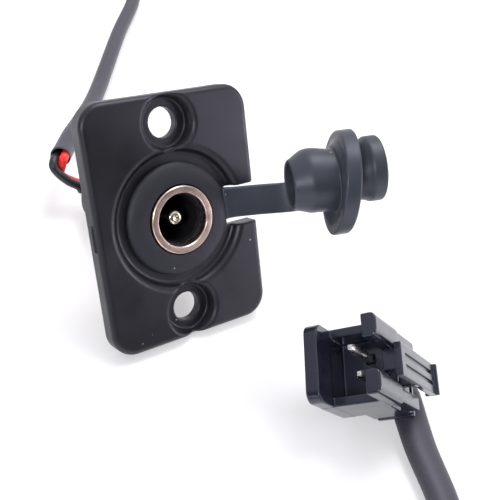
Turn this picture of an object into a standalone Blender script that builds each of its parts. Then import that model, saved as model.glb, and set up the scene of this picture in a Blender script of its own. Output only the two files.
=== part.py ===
"""Panel charge port inlet: a flanged DC jack in a rubber boot, with a tethered dust cap and a short lead.

Metres, +Z up. The part lies as it comes to rest on a table: the flange leans back on its lower rear edge
and on the rim of the jack, and the lead runs round to its two-way plug. The origin is under the middle of
the inlet, on the table.

Three frames carry the pieces:
  inlet_frame      origin on the jack's axis at the flange's front face, +Y into the panel, +Z up the flange
  cap_hinge        the line that the dust cap swings about, when its strap bends
  connector_frame  origin at the front of the plug's housing, +X to its rear, +Z towards its latch lever
"""
import math

import bmesh
import bpy
import numpy as np
from mathutils import Matrix, Vector

MM = 0.001
STEPS = 48            # facets round a turned piece
SMALL_STEPS = 24      # facets round a small hole or pin
WELD = 1e-6
SMOOTH_ANGLE = math.radians(35)

# Clearances
GAP = 0.3 * MM        # between faces that touch on the real part
RUN = 0.12 * MM       # between a shaft and the piece that it fits in

# Flange plate
PLATE_W = 21.8 * MM
PLATE_H = 30.4 * MM
PLATE_T = 2.5 * MM
PLATE_CORNER = 3.0 * MM
PLATE_FILLET = 0.7 * MM
BACK_CHAMFER = 0.15 * MM
SCREW_PITCH = 23.4 * MM
SCREW_R = 1.85 * MM
SCREW_SEAT_R = 3.3 * MM
SCREW_SEAT_DEPTH = 1.7 * MM
SCREW_BOSS_R = 2.9 * MM
SCREW_BOSS_H = 0.6 * MM
RECESS_R = 8.7 * MM
RECESS_DRAFT = 0.5 * MM
RECESS_DEPTH = 1.2 * MM
NOTCH_W = 5.0 * MM
NOTCH_START = 7.2 * MM
NOTCH_CORNER = 0.55 * MM
GATE_W = 3.3 * MM
GATE_H = 1.1 * MM
GATE_PROUD = 0.25 * MM

# Rubber boot, which lines the flange's hole
BOOT_WALL = 1.13 * MM          # of the stem, round the barrel
BOOT_DOME_R = 7.0 * MM
BOOT_DOME_H = 1.0 * MM
BOOT_LIP_R = 6.6 * MM
BOOT_LIP_T = 1.1 * MM
BOOT_FACE_EDGE = 0.4 * MM      # flat round the ring, before the dome falls away

# Jack shell, a turned tube with a front ring
BARREL_R = 3.95 * MM
BARREL_WALL = 0.5 * MM
BARREL_END = 14.0 * MM
RING_RIM = 0.25 * MM           # how far the ring stands out from the barrel
RING_PROUD = 0.4 * MM
RING_T = 1.0 * MM
RING_BORE_STEP = 0.09 * MM     # how far its bore stands in from the barrel's
RING_BORE_DEPTH = 2.0 * MM
RING_CHAMFER = 0.14 * MM

# Jack insulator
MOUTH_Y = 2.2 * MM
NECK_PLAY = 0.15 * MM          # between the neck and the barrel's bore
SOCKET_WALL = 0.35 * MM
SOCKET_LEAD = 1.0 * MM
SOCKET_FLOOR = 12.8 * MM
REAR_STEP = 0.05 * MM          # how far the rear drum stands out from the barrel
JACK_REAR = 21.95 * MM
REAR_CHAMFER = 0.2 * MM

# Contacts
PIN_R = 1.0 * MM
PIN_TIP = 1.4 * MM
PIN_TIP_ROUND = 0.45 * MM
PIN_STEP = 19.7 * MM
PIN_STEM_R = 0.75 * MM
PIN_HEAD_R = 1.1 * MM
PIN_HEAD_T = 0.35 * MM
TAG_T = 0.4 * MM
TAG_W = 1.6 * MM
TAG_EYE_R = 1.4 * MM
TAG_BEND_R = 1.55 * MM
TAG_REACH = 2.6 * MM
TAG_LIFT = 2.8 * MM
BLADE_INSET = 0.35 * MM        # from the socket's wall to the middle of a blade
BLADE_BOW = 0.35 * MM
BLADE_START = 5.0 * MM
SWITCH_START = 13.6 * MM
BLADE_END = 24.8 * MM

# Washer and nut behind the flange
WASHER_R = 6.0 * MM
WASHER_T = 0.5 * MM
WASHER_TEETH = 10
WASHER_TOOTH = 0.7 * MM
NUT_FLATS = 11.0 * MM
NUT_T = 2.2 * MM
NUT_CHAMFER = 0.4 * MM

# Dust cap, and how far its strap holds it open
CAP_NOSE_R = 3.3 * MM
CAP_NOSE_DRAFT = 0.05 * MM
CAP_NOSE_STRAIGHT = 2.8 * MM
CAP_NOSE_END_R = 2.55 * MM
CAP_NOSE_LENGTH = 4.8 * MM
CAP_HOLLOW_R = 2.1 * MM
CAP_HOLLOW_FLOOR = 0.9 * MM
CAP_FLANGE_R = 5.5 * MM
CAP_FLANGE_T = 1.65 * MM
CAP_NECK_R = 2.6 * MM
CAP_KNOB_R = 3.5 * MM
CAP_KNOB_T = 1.4 * MM
CAP_BACK = 4.75 * MM
CAP_FACE = -(RING_PROUD + 0.25 * MM)
CAP_REST_TURN = math.radians(66.5)
CAP_HINGE_POINT = Vector((18.03, -2.16, 3.04)) * MM
CAP_HINGE_LINE = Vector((-0.137, 0.212, 0.968))

# Strap between the boot and the cap
STRAP_W = 3.85 * MM
STRAP_T = 0.85 * MM
STRAP_Y = 0.5 * MM
STRAP_Z = 0.2 * MM
STRAP_SECTIONS = 22

# Lead: one sleeve round two wires
WIRE_R = 0.625 * MM
SLEEVE_R = 1.4 * MM
SLEEVE_MOUTH = Vector((-5.1, 24.0, 6.8)) * MM          # in the inlet's frame
SLEEVE_FACING = Vector((-0.57, -0.79, -0.23)).normalized()
WIRE_SPREAD = 0.66 * MM

# Plug housing
PLUG_PLACE = Vector((3.76, -22.13, 9.99)) * MM         # table point, measured from the foot of the inlet's axis
PLUG_ALONG = Vector((0.745, -0.061, -0.664))
PLUG_UP = Vector((0.513, -0.584, 0.629))
PLUG_W = 9.0 * MM
PLUG_FLOOR_T = 1.69 * MM
PLUG_FLOOR_CORNER = 1.3 * MM
PLUG_WALL_FRONT = 3.69 * MM
PLUG_WALL_T = 1.05 * MM
PLUG_STEP = 10.04 * MM
PLUG_CAVITY_END = 7.18 * MM
PLUG_ROOF = 7.3 * MM
PLUG_ROOF_T = 0.3 * MM
RAIL_W = 2.75 * MM
RAIL_TOP = 8.78 * MM
RAIL_ROUND = 0.8 * MM
RAIL_LENGTH = 7.1 * MM
RAIL_STEP = (2.5 * MM, 4.1 * MM)
RAIL_STEP_TOP = 8.6 * MM
RAIL_STEP_END = 12.9 * MM
PLUG_REAR_W = 8.6 * MM
PLUG_REAR_LOW = 2.2 * MM
PLUG_REAR_TOP = 7.3 * MM
PLUG_REAR_END = 14.0 * MM
PLUG_LIP_T = 0.8 * MM
PLUG_LIP_W = 8.9 * MM
PLUG_LIP_LOW = 2.8 * MM
PLUG_LIP_TOP = 7.45 * MM
TERMINAL_W = 0.85 * MM
TERMINAL_PITCH = 2.5 * MM
TERMINAL_LEVEL = 5.13 * MM
TERMINAL_TIPS = (1.06 * MM, 3.17 * MM)
TERMINAL_TAPER = 0.55 * MM

# Latch lever on the plug
LEVER_W = 3.82 * MM
LEVER_FRONT = 4.01 * MM
LEVER_HOOK = 1.3 * MM
LEVER_HOOK_W = 2.4 * MM
LEVER_HOOK_LOW = 7.7 * MM
LEVER_UNDER = 9.08 * MM
LEVER_TOP = 9.95 * MM
LEVER_END = 16.09 * MM
LEVER_LIP_T = 0.5 * MM
LEVER_LIP_TOP = 10.35 * MM
LEVER_LIP_LOW = 8.6 * MM
LEVER_WEB_A = 9.6 * MM
LEVER_WEB_T = 1.0 * MM
GROOVE_W = 0.45 * MM
GROOVE_DEPTH = 0.3 * MM
GROOVE_OFFSET = 0.65 * MM

# Worked out from the sizes above
RING_R = BARREL_R + RING_RIM
BARREL_BORE_R = BARREL_R - BARREL_WALL
RING_BORE_R = BARREL_BORE_R - RING_BORE_STEP
NECK_R = BARREL_BORE_R - NECK_PLAY
SOCKET_R = NECK_R - SOCKET_WALL
REAR_R = BARREL_R + REAR_STEP
BLADE_X = SOCKET_R - BLADE_INSET
BOOT_STEM_R = BARREL_R + RUN + BOOT_WALL
BOOT_FACE_R = RING_R + BOOT_FACE_EDGE
BOOT_SEAT = RECESS_DEPTH - GAP
BOOT_FACE = BOOT_SEAT - BOOT_DOME_H
BOOT_BORE_R = BARREL_R + RUN
BOOT_BACK = PLATE_T + GAP + BOOT_LIP_T
PLATE_HOLE_R = BOOT_STEM_R + GAP
RING_BACK = RING_T - RING_PROUD
WASHER_Y = BOOT_BACK + 0.25 * MM
NUT_Y = WASHER_Y + WASHER_T + 0.25 * MM
REAR_START = BARREL_END + GAP
TAG_Y = JACK_REAR + 0.25 * MM
PLATE_FOOT = (PLATE_T - BACK_CHAMFER, PLATE_H / 2)
JACK_FOOT = (JACK_REAR - REAR_CHAMFER, REAR_R)
LEAN = math.atan2(PLATE_FOOT[1] - JACK_FOOT[1], JACK_FOOT[0] - PLATE_FOOT[0])
AXIS_HEIGHT = PLATE_FOOT[1] * math.cos(LEAN) + PLATE_FOOT[0] * math.sin(LEAN)
PLUG_END = PLUG_REAR_END + PLUG_LIP_T

MATERIALS = {
    "black_plastic": ((0.018, 0.019, 0.022), 0.42, 0.0),
    "boot_rubber": ((0.026, 0.026, 0.030), 0.60, 0.0),
    "cap_rubber": ((0.060, 0.064, 0.072), 0.50, 0.0),
    "nickel": ((0.56, 0.50, 0.45), 0.25, 1.0),
    "insulator": ((0.008, 0.008, 0.010), 0.45, 0.0),
    "pale_brass": ((0.75, 0.68, 0.52), 0.25, 1.0),
    "tin": ((0.70, 0.70, 0.70), 0.30, 1.0),
    "red_insulation": ((0.75, 0.03, 0.02), 0.45, 0.0),
    "black_insulation": ((0.02, 0.02, 0.022), 0.40, 0.0),
    "sleeve_rubber": ((0.045, 0.044, 0.050), 0.50, 0.0),
    "plug_plastic": ((0.022, 0.023, 0.028), 0.30, 0.0),
}


def clear_scene():
    """Remove every object, so that the model can be rebuilt in place."""
    for item in list(bpy.data.objects):
        bpy.data.objects.remove(item, do_unlink=True)


def make_material(name):
    """A plain Principled material from the table of finishes."""
    colour, roughness, metallic = MATERIALS[name]
    material = bpy.data.materials.get(name) or bpy.data.materials.new(name)
    material.use_nodes = True
    shader = material.node_tree.nodes["Principled BSDF"]
    shader.inputs["Base Color"].default_value = (*colour, 1.0)
    shader.inputs["Roughness"].default_value = roughness
    shader.inputs["Metallic"].default_value = metallic
    material.diffuse_color = (*colour, 1.0)
    return material


def add_empty(name, parent=None, matrix=None):
    """A frame that pieces hang from."""
    empty = bpy.data.objects.new(name, None)
    bpy.context.collection.objects.link(empty)
    empty.parent = parent
    if matrix is not None:
        empty.matrix_local = matrix
    return empty


def add_mesh(name, bm, material, parent, location=(0, 0, 0)):
    """Finish a bmesh as a smooth-shaded object."""
    bmesh.ops.recalc_face_normals(bm, faces=bm.faces)
    mesh = bpy.data.meshes.new(name)
    bm.to_mesh(mesh)
    bm.free()
    mesh.shade_smooth()
    mesh.set_sharp_from_angle(angle=SMOOTH_ANGLE)
    item = bpy.data.objects.new(name, mesh)
    bpy.context.collection.objects.link(item)
    if material:
        mesh.materials.append(make_material(material))
    item.parent = parent
    item.location = location
    return item


def turned(name, profile, material, parent, location=(0, 0, 0), steps=STEPS):
    """Spin a profile of (radius, y) points about the Y axis. It closes on the axis or on itself."""
    bm = bmesh.new()
    verts = [bm.verts.new((radius, y, 0)) for radius, y in profile]
    edges = [bm.edges.new(pair) for pair in zip(verts, verts[1:])]
    if profile[0][0] > 0 and profile[-1][0] > 0:
        edges.append(bm.edges.new((verts[-1], verts[0])))
    bmesh.ops.spin(bm, geom=verts + edges, axis=(0, 1, 0), cent=(0, 0, 0), steps=steps,
                   angle=2 * math.pi, use_merge=True, use_duplicate=False)
    bmesh.ops.remove_doubles(bm, verts=bm.verts, dist=WELD)
    return add_mesh(name, bm, material, parent, location)


def prism(name, outline, low, high, axis, material, parent, location=(0, 0, 0)):
    """Extrude an outline along X, Y or Z. Its points give the other two coordinates in order."""
    place = {"X": lambda u, v: (low, u, v), "Y": lambda u, v: (u, low, v), "Z": lambda u, v: (u, v, low)}[axis]
    bm = bmesh.new()
    face = bm.faces.new([bm.verts.new(place(u, v)) for u, v in outline])
    result = bmesh.ops.extrude_face_region(bm, geom=[face])
    moved = [part for part in result["geom"] if isinstance(part, bmesh.types.BMVert)]
    step = {"X": Vector((1, 0, 0)), "Y": Vector((0, 1, 0)), "Z": Vector((0, 0, 1))}[axis]
    bmesh.ops.translate(bm, verts=moved, vec=step * (high - low))
    return add_mesh(name, bm, material, parent, location)


def loft(name, rings, material, parent, location=(0, 0, 0)):
    """Skin a row of rings with equal numbers of points, and cap both ends."""
    bm = bmesh.new()
    rows = [[bm.verts.new(point) for point in ring] for ring in rings]
    count = len(rows[0])
    for near, far in zip(rows, rows[1:]):
        for i in range(count):
            j = (i + 1) % count
            bm.faces.new((near[i], near[j], far[j], far[i]))
    bm.faces.new(rows[0])
    bm.faces.new(rows[-1])
    return add_mesh(name, bm, material, parent, location)


def combine(target, tool, operation):
    """Join a solid to the target, or cut it out, with the tool left as a wire guide."""
    tool.hide_render = True
    tool.display_type = "WIRE"
    modifier = target.modifiers.new(f"{operation.lower()} {tool.name}", "BOOLEAN")
    modifier.operation = operation
    modifier.object = tool
    modifier.solver = "EXACT"


def arc(centre, radii, start, end, steps):
    """Points on an ellipse's arc, angles in degrees."""
    angles = [math.radians(start + (end - start) * i / steps) for i in range(steps + 1)]
    return [(centre[0] + radii[0] * math.cos(a), centre[1] + radii[1] * math.sin(a)) for a in angles]


def rectangle(left, right, low, high):
    """A plain rectangle's outline."""
    return [(left, low), (right, low), (right, high), (left, high)]


def rounded_rectangle(width, height, radius, steps=6):
    """A rectangle's outline about the origin, with round corners."""
    x, y = width / 2 - radius, height / 2 - radius
    corners = [((x, -y), -90), ((x, y), 0), ((-x, y), 90), ((-x, -y), 180)]
    return [point for centre, start in corners for point in arc(centre, (radius, radius), start, start + 90, steps)]


def smooth_line(points, spacing, end_spacing=None, end_length=0):
    """Points on a Catmull-Rom curve through the given ones, closer together near its ends if asked."""
    knots = [Vector(point) for point in points]
    ends = [2 * knots[0] - knots[1], *knots, 2 * knots[-1] - knots[-2]]
    fine = []
    for before, start, end, after in zip(ends, ends[1:], ends[2:], ends[3:]):
        for k in range(40):
            t = k / 40
            fine.append(0.5 * (2 * start + (end - before) * t
                               + (2 * before - 5 * start + 4 * end - after) * t ** 2
                               + (3 * start - before - 3 * end + after) * t ** 3))
    fine.append(knots[-1])
    path = np.array(fine)
    length = np.concatenate([[0], np.cumsum(np.linalg.norm(np.diff(path, axis=0), axis=1))])
    total = length[-1]
    wanted = np.linspace(end_length, total - end_length, max(2, round((total - 2 * end_length) / spacing)) + 1)
    if end_length:
        near = np.linspace(0, end_length, round(end_length / end_spacing) + 1)[:-1]
        wanted = np.concatenate([near, wanted, total - near[::-1]])
    return [Vector(point) for point in np.stack([np.interp(wanted, length, path[:, k]) for k in range(3)], axis=1)]


def cord(name, points, radius, material, parent):
    """A round cord along a smooth line, as a curve with a bevel and filled ends."""
    curve = bpy.data.curves.new(name, "CURVE")
    curve.dimensions = "3D"
    curve.bevel_depth = radius
    curve.bevel_resolution = 2
    curve.use_fill_caps = True
    spline = curve.splines.new("POLY")
    spline.points.add(len(points) - 1)
    for knot, point in zip(spline.points, points):
        knot.co = (*point, 1.0)
    item = bpy.data.objects.new(name, curve)
    bpy.context.collection.objects.link(item)
    curve.materials.append(make_material(material))
    item.parent = parent
    return item


def make_flange_plate(frame):
    """Moulded flange: filleted face, sunk round recess, two screw seats and a notch for the strap."""
    levels = [(BACK_CHAMFER, PLATE_T), (0, PLATE_T - BACK_CHAMFER)]
    levels += [(PLATE_FILLET - dx, PLATE_FILLET - dy)
               for dx, dy in arc((0, 0), (PLATE_FILLET, PLATE_FILLET), 0, 90, 4)]
    rings = []
    for inset, y in levels:
        outline = rounded_rectangle(PLATE_W - 2 * inset, PLATE_H - 2 * inset, PLATE_CORNER - inset)
        rings.append([(x, y, z) for x, z in outline])
    plate = loft("flange_plate", rings, "black_plastic", frame)

    gate = prism("gate_vestige", rectangle(-PLATE_W / 2 - GATE_PROUD, -PLATE_W / 2 + GATE_PROUD,
                                           -GATE_W / 2, GATE_W / 2),
                 PLATE_T / 2 - GATE_H / 2, PLATE_T / 2 + GATE_H / 2, "Y", None, frame)
    combine(plate, gate, "UNION")
    beyond = PLATE_T + SCREW_BOSS_H + GAP
    for side, word in ((1, "upper"), (-1, "lower")):
        place = (0, 0, side * SCREW_PITCH / 2)
        boss = turned(f"{word}_screw_boss", [(0, PLATE_T / 2), (SCREW_BOSS_R, PLATE_T / 2),
                                             (SCREW_BOSS_R, PLATE_T + SCREW_BOSS_H), (0, PLATE_T + SCREW_BOSS_H)],
                      None, frame, place, SMALL_STEPS)
        combine(plate, boss, "UNION")
        seat = turned(f"{word}_screw_hole", [(0, -GAP), (SCREW_SEAT_R + GAP / 2, -GAP),
                                             (SCREW_SEAT_R - GAP / 2, SCREW_SEAT_DEPTH),
                                             (SCREW_R, SCREW_SEAT_DEPTH), (SCREW_R, beyond), (0, beyond)],
                      None, frame, place, 32)
        combine(plate, seat, "DIFFERENCE")
    slope = RECESS_DRAFT / RECESS_DEPTH
    recess = turned("boot_recess", [(0, -GAP), (RECESS_R + GAP * slope, -GAP),
                                    (RECESS_R - RECESS_DRAFT, RECESS_DEPTH), (PLATE_HOLE_R, RECESS_DEPTH),
                                    (PLATE_HOLE_R, PLATE_T + GAP), (0, PLATE_T + GAP)],
                    None, frame)
    combine(plate, recess, "DIFFERENCE")
    edge = PLATE_W / 2
    half = NOTCH_W / 2
    r = NOTCH_CORNER
    mouth = arc((edge - r, half + r), (r, r), -90, 0, 4)
    upper = [(NOTCH_START, half), *mouth, (edge + r, half + r)]
    outline = upper + [(x, -z) for x, z in reversed(upper)]
    notch = prism("strap_notch", outline, -GAP, PLATE_T + GAP, "Y", None, frame)
    combine(plate, notch, "DIFFERENCE")
    return plate


def make_rubber_boot(frame):
    """Grommet: a shallow dome round the ring, a stem through the flange and a lip behind it."""
    dome = arc((BOOT_FACE_R, BOOT_SEAT), (BOOT_DOME_R - BOOT_FACE_R, -BOOT_DOME_H), 0, 90, 8)
    pocket_r = RING_R + RUN
    profile = dome + [(pocket_r, BOOT_FACE), (pocket_r, RING_BACK + GAP), (BOOT_BORE_R, RING_BACK + GAP),
                      (BOOT_BORE_R, BOOT_BACK), (BOOT_LIP_R - BACK_CHAMFER, BOOT_BACK),
                      (BOOT_LIP_R, BOOT_BACK - BACK_CHAMFER), (BOOT_LIP_R, PLATE_T + GAP),
                      (BOOT_STEM_R, PLATE_T + GAP), (BOOT_STEM_R, BOOT_SEAT)]
    return turned("rubber_boot", profile, "boot_rubber", frame)


def make_jack_shell(frame):
    """Turned tube whose chamfered front ring is the inlet's bright rim."""
    c = RING_CHAMFER
    profile = [(RING_BORE_R, c), (RING_BORE_R + c, 0), (RING_R - c, 0), (RING_R, c), (RING_R, RING_T),
               (BARREL_R, RING_T), (BARREL_R, BARREL_END + RING_PROUD - c),
               (BARREL_R - c, BARREL_END + RING_PROUD), (BARREL_BORE_R, BARREL_END + RING_PROUD),
               (BARREL_BORE_R, RING_BORE_DEPTH), (RING_BORE_R, RING_BORE_DEPTH)]
    return turned("jack_shell", profile, "nickel", frame, (0, -RING_PROUD, 0))


def make_jack_body(frame):
    """Insulator: a socket with a flared mouth, the body behind the barrel and slots for the contacts."""
    bore = PIN_R + RUN
    stem = PIN_STEM_R + RUN
    shoulder = PIN_STEP + GAP
    profile = [(NECK_R - 0.1 * MM, MOUTH_Y), (NECK_R, MOUTH_Y + 0.1 * MM), (NECK_R, REAR_START),
               (REAR_R - REAR_CHAMFER, REAR_START), (REAR_R, REAR_START + REAR_CHAMFER),
               (REAR_R, JACK_REAR - REAR_CHAMFER), (REAR_R - REAR_CHAMFER, JACK_REAR),
               (stem, JACK_REAR), (stem, shoulder), (bore, shoulder), (bore, SOCKET_FLOOR),
               (SOCKET_R, SOCKET_FLOOR), (SOCKET_R, MOUTH_Y + SOCKET_LEAD)]
    body = turned("jack_body", profile, "insulator", frame)
    half = TAG_W / 2 + GAP
    for side, start, word in ((-1, BLADE_START, "spring"), (1, SWITCH_START, "switch")):
        inner = side * (BLADE_X - TAG_T / 2 - GAP)
        outer = side * (BLADE_X + TAG_T / 2 + GAP / 2)
        slot = prism(f"{word}_slot", rectangle(min(inner, outer), max(inner, outer), -half, half),
                     start - GAP, JACK_REAR + GAP, "Y", None, frame)
        combine(body, slot, "DIFFERENCE")
    return body


def make_centre_pin(frame):
    """Turned pin with a round tip, held through the insulator and riveted over the pin tag."""
    tip = arc((PIN_R - PIN_TIP_ROUND, PIN_TIP + PIN_TIP_ROUND), (PIN_TIP_ROUND, -PIN_TIP_ROUND), 90, 0, 4)
    head = TAG_Y + TAG_T + 0.25 * MM
    profile = [(0, PIN_TIP), *tip, (PIN_R, PIN_STEP), (PIN_STEM_R, PIN_STEP), (PIN_STEM_R, head),
               (PIN_HEAD_R, head), (PIN_HEAD_R * 0.8, head + PIN_HEAD_T), (0, head + PIN_HEAD_T)]
    return turned("centre_pin", profile, "pale_brass", frame, steps=SMALL_STEPS)


def make_sleeve_spring(frame):
    """Side contact: a leaf bowed into the socket, whose tail is the solder tag for the black wire."""
    x = -BLADE_X
    bend = [(BLADE_START, 0.0), (BLADE_START + 1.5 * MM, 0.5), (BLADE_START + 3 * MM, 1.0),
            (BLADE_START + 4.5 * MM, 0.5), (BLADE_START + 6 * MM, 0.0), (BLADE_END, 0.0)]
    inner = [(x + TAG_T / 2 + BLADE_BOW * share, y) for y, share in bend]
    outer = [(x - TAG_T / 2 + BLADE_BOW * share, y) for y, share in reversed(bend)]
    return prism("sleeve_spring", inner + outer, -TAG_W / 2, TAG_W / 2, "Z", "tin", frame)


def make_switch_tag(frame):
    """Plain blade of the break contact, which this lead leaves unused."""
    outline = rectangle(BLADE_X - TAG_T / 2, BLADE_X + TAG_T / 2, SWITCH_START, BLADE_END - 0.5 * MM)
    return prism("switch_tag", outline, -TAG_W / 2, TAG_W / 2, "Z", "tin", frame)


def make_pin_tag(frame):
    """Solder tag under the pin's head, bent back and then out towards the lead."""
    lift = TAG_LIFT + TAG_T
    outline = [(0, 0), (TAG_BEND_R + TAG_T, 0), (TAG_BEND_R + TAG_T, TAG_LIFT), (TAG_REACH, TAG_LIFT),
               (TAG_REACH, lift), (TAG_BEND_R, lift), (TAG_BEND_R, TAG_T), (0, TAG_T)]
    tag = prism("pin_tag", outline, -TAG_W / 2, TAG_W / 2, "Z", "tin", frame, (0, TAG_Y, 0))
    tag.rotation_euler = (0, -math.radians(135), 0)
    washer = turned("pin_tag_washer", [(0, 0), (TAG_EYE_R, 0), (TAG_EYE_R, TAG_T), (0, TAG_T)],
                    None, frame, (0, TAG_Y, 0), SMALL_STEPS)
    combine(tag, washer, "UNION")
    eye = turned("pin_tag_eye", [(0, -GAP), (PIN_STEM_R + RUN, -GAP), (PIN_STEM_R + RUN, TAG_T + GAP),
                                 (0, TAG_T + GAP)], None, frame, (0, TAG_Y, 0), SMALL_STEPS)
    combine(tag, eye, "DIFFERENCE")
    return tag


def make_lock_washer(frame):
    """Flat washer with teeth round its hole."""
    bore = BARREL_R + RUN
    washer = turned("lock_washer", [(0, 0), (WASHER_R, 0), (WASHER_R, WASHER_T), (0, WASHER_T)], "nickel",
                    frame, (0, WASHER_Y, 0))
    outline = []
    for i in range(4 * WASHER_TEETH):
        radius = bore if i % 4 < 2 else bore + WASHER_TOOTH
        angle = math.radians(360 / (4 * WASHER_TEETH) * i)
        outline.append((radius * math.cos(angle), radius * math.sin(angle)))
    hole = prism("toothed_hole", outline, -GAP, WASHER_T + GAP, "Y", None, frame, (0, WASHER_Y, 0))
    combine(washer, hole, "DIFFERENCE")
    return washer


def make_jack_nut(frame):
    """Hexagon nut, its rear corners turned off."""
    corner = NUT_FLATS / 2 / math.cos(math.radians(30))
    outline = [(corner * math.cos(math.radians(60 * i)), corner * math.sin(math.radians(60 * i)))
               for i in range(6)]
    nut = prism("jack_nut", outline, 0, NUT_T, "Y", "nickel", frame, (0, NUT_Y, 0))
    reach = NUT_T + GAP
    envelope = turned("nut_envelope", [(BARREL_R + RUN, -GAP), (corner + GAP, -GAP),
                                       (corner + GAP, NUT_T - NUT_CHAMFER),
                                       (corner - NUT_CHAMFER * 2, reach), (BARREL_R + RUN, reach)],
                      None, frame, (0, NUT_Y, 0))
    combine(nut, envelope, "INTERSECT")
    return nut


def make_dust_cap(hinge):
    """Cap: hollow tapered nose that clears the pin, sealing flange, neck and flared pull knob."""
    face_r = CAP_NOSE_R - CAP_NOSE_DRAFT
    rear = -CAP_BACK
    flare = [(CAP_NECK_R + (CAP_KNOB_R - CAP_NECK_R) * share ** 1.6,
              -CAP_FLANGE_T - (CAP_BACK - CAP_KNOB_T - CAP_FLANGE_T) * share) for share in (0, 0.35, 0.7, 1)]
    profile = [(0, CAP_HOLLOW_FLOOR), (CAP_HOLLOW_R - 0.3 * MM, CAP_HOLLOW_FLOOR),
               (CAP_HOLLOW_R, CAP_HOLLOW_FLOOR + 0.3 * MM), (CAP_HOLLOW_R, CAP_NOSE_LENGTH - 0.1 * MM),
               (CAP_HOLLOW_R + 0.1 * MM, CAP_NOSE_LENGTH), (CAP_NOSE_END_R - 0.12 * MM, CAP_NOSE_LENGTH),
               (CAP_NOSE_END_R, CAP_NOSE_LENGTH - 0.12 * MM), (face_r, CAP_NOSE_STRAIGHT),
               (CAP_NOSE_R, 0.15 * MM), (CAP_NOSE_R + 0.1 * MM, 0),
               (CAP_FLANGE_R - 0.25 * MM, 0), (CAP_FLANGE_R, -0.25 * MM), (CAP_FLANGE_R, -CAP_FLANGE_T + 0.2 * MM),
               (CAP_FLANGE_R - 0.3 * MM, -CAP_FLANGE_T), *flare, (CAP_KNOB_R, rear + 0.2 * MM),
               (CAP_KNOB_R - 0.2 * MM, rear), (CAP_KNOB_R / 2, rear - 0.12 * MM), (0, rear - 0.15 * MM)]
    return turned("dust_cap", profile, "cap_rubber", hinge, cap_closed() - CAP_HINGE_POINT)


def cap_closed():
    """Where the middle of the cap's flange face sits when the cap is pushed home."""
    return Vector((0, CAP_FACE, 0))


def cap_turn():
    """The turn from the closed cap to the open one that the photograph shows."""
    return Matrix.Rotation(CAP_REST_TURN, 4, CAP_HINGE_LINE.normalized())


def make_cap_strap(frame):
    """Flat strap from the boot's side, out through the notch and round to the cap's flange."""
    turn = cap_turn().to_3x3()
    rim = CAP_HINGE_POINT + turn @ (cap_closed() + Vector((CAP_FLANGE_R + GAP, -CAP_FLANGE_T / 2, 0))
                                    - CAP_HINGE_POINT)
    outward = turn @ Vector((1, 0, 0))
    root = Vector((BOOT_DOME_R + 0.36 * MM, STRAP_Y, STRAP_Z))
    route = [root, Vector((10.6, -1.25, 0.17)) * MM, Vector((14.0, -3.3, 0.15)) * MM,
             Vector((15.4, -6.2, 0.8)) * MM, Vector((14.7, -9.4, 2.0)) * MM, rim + outward * 1.7 * MM, rim]
    length = sum((b - a).length for a, b in zip(route, route[1:]))
    line = smooth_line(route, length / STRAP_SECTIONS)
    upright = Vector((0, 0, 1))
    at_rim = turn @ upright
    rings = []
    for i, point in enumerate(line):
        ahead = line[min(i + 1, len(line) - 1)] - line[max(i - 1, 0)]
        if i == len(line) - 1:
            ahead = -outward
        across = upright.lerp(at_rim, i / (len(line) - 1))
        across = (across - ahead * across.dot(ahead) / ahead.length_squared).normalized()
        flat = ahead.normalized().cross(across)
        outline = rounded_rectangle(STRAP_T, STRAP_W, 0.25 * MM, 1)
        rings.append([point + flat * u + across * v for u, v in outline])
    return loft("cap_strap", rings, "cap_rubber", frame)


def wire_exits():
    """Where the black and the red wire leave the open end of the sleeve."""
    aside = SLEEVE_FACING.cross(Vector((0, 0, 1))).normalized()
    start = SLEEVE_MOUTH + SLEEVE_FACING * GAP
    return start - aside * WIRE_SPREAD, start + aside * WIRE_SPREAD


def make_wires(frame):
    """Two wires from the sleeve's mouth down behind the flange to the solder tags."""
    left, right = wire_exits()
    if left.x > right.x:
        left, right = right, left
    tag_end = Vector((-BLADE_X - 0.15 * MM, 23.7 * MM, TAG_W / 2 + GAP + 0.05 * MM))
    ahead = SLEEVE_FACING * 0.5 * MM
    black = [left, left + ahead, Vector((-6.6, 23.2, 5.8)) * MM, Vector((-6.1, 23.2, 4.7)) * MM,
             Vector((-4.7, 23.35, 3.2)) * MM, Vector((-3.3, 23.6, 2.2)) * MM, tag_end]
    out = Vector((-1, 0, 1)).normalized()
    tongue = Vector((0, TAG_Y + TAG_LIFT + TAG_T / 2, 0))
    red = [right, right + ahead, Vector((-5.3, 23.5, 5.6)) * MM, Vector((-5.3, 24.4, 4.8)) * MM,
           Vector((-5.0, 25.0, 3.9)) * MM, Vector((-3.6, 25.15, 2.9)) * MM, tongue + out * (TAG_REACH + GAP)]
    cord("wire_black", smooth_line(black, 0.8 * MM), WIRE_R, "black_insulation", frame)
    cord("wire_red", smooth_line(red, 0.8 * MM), WIRE_R, "red_insulation", frame)


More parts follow.
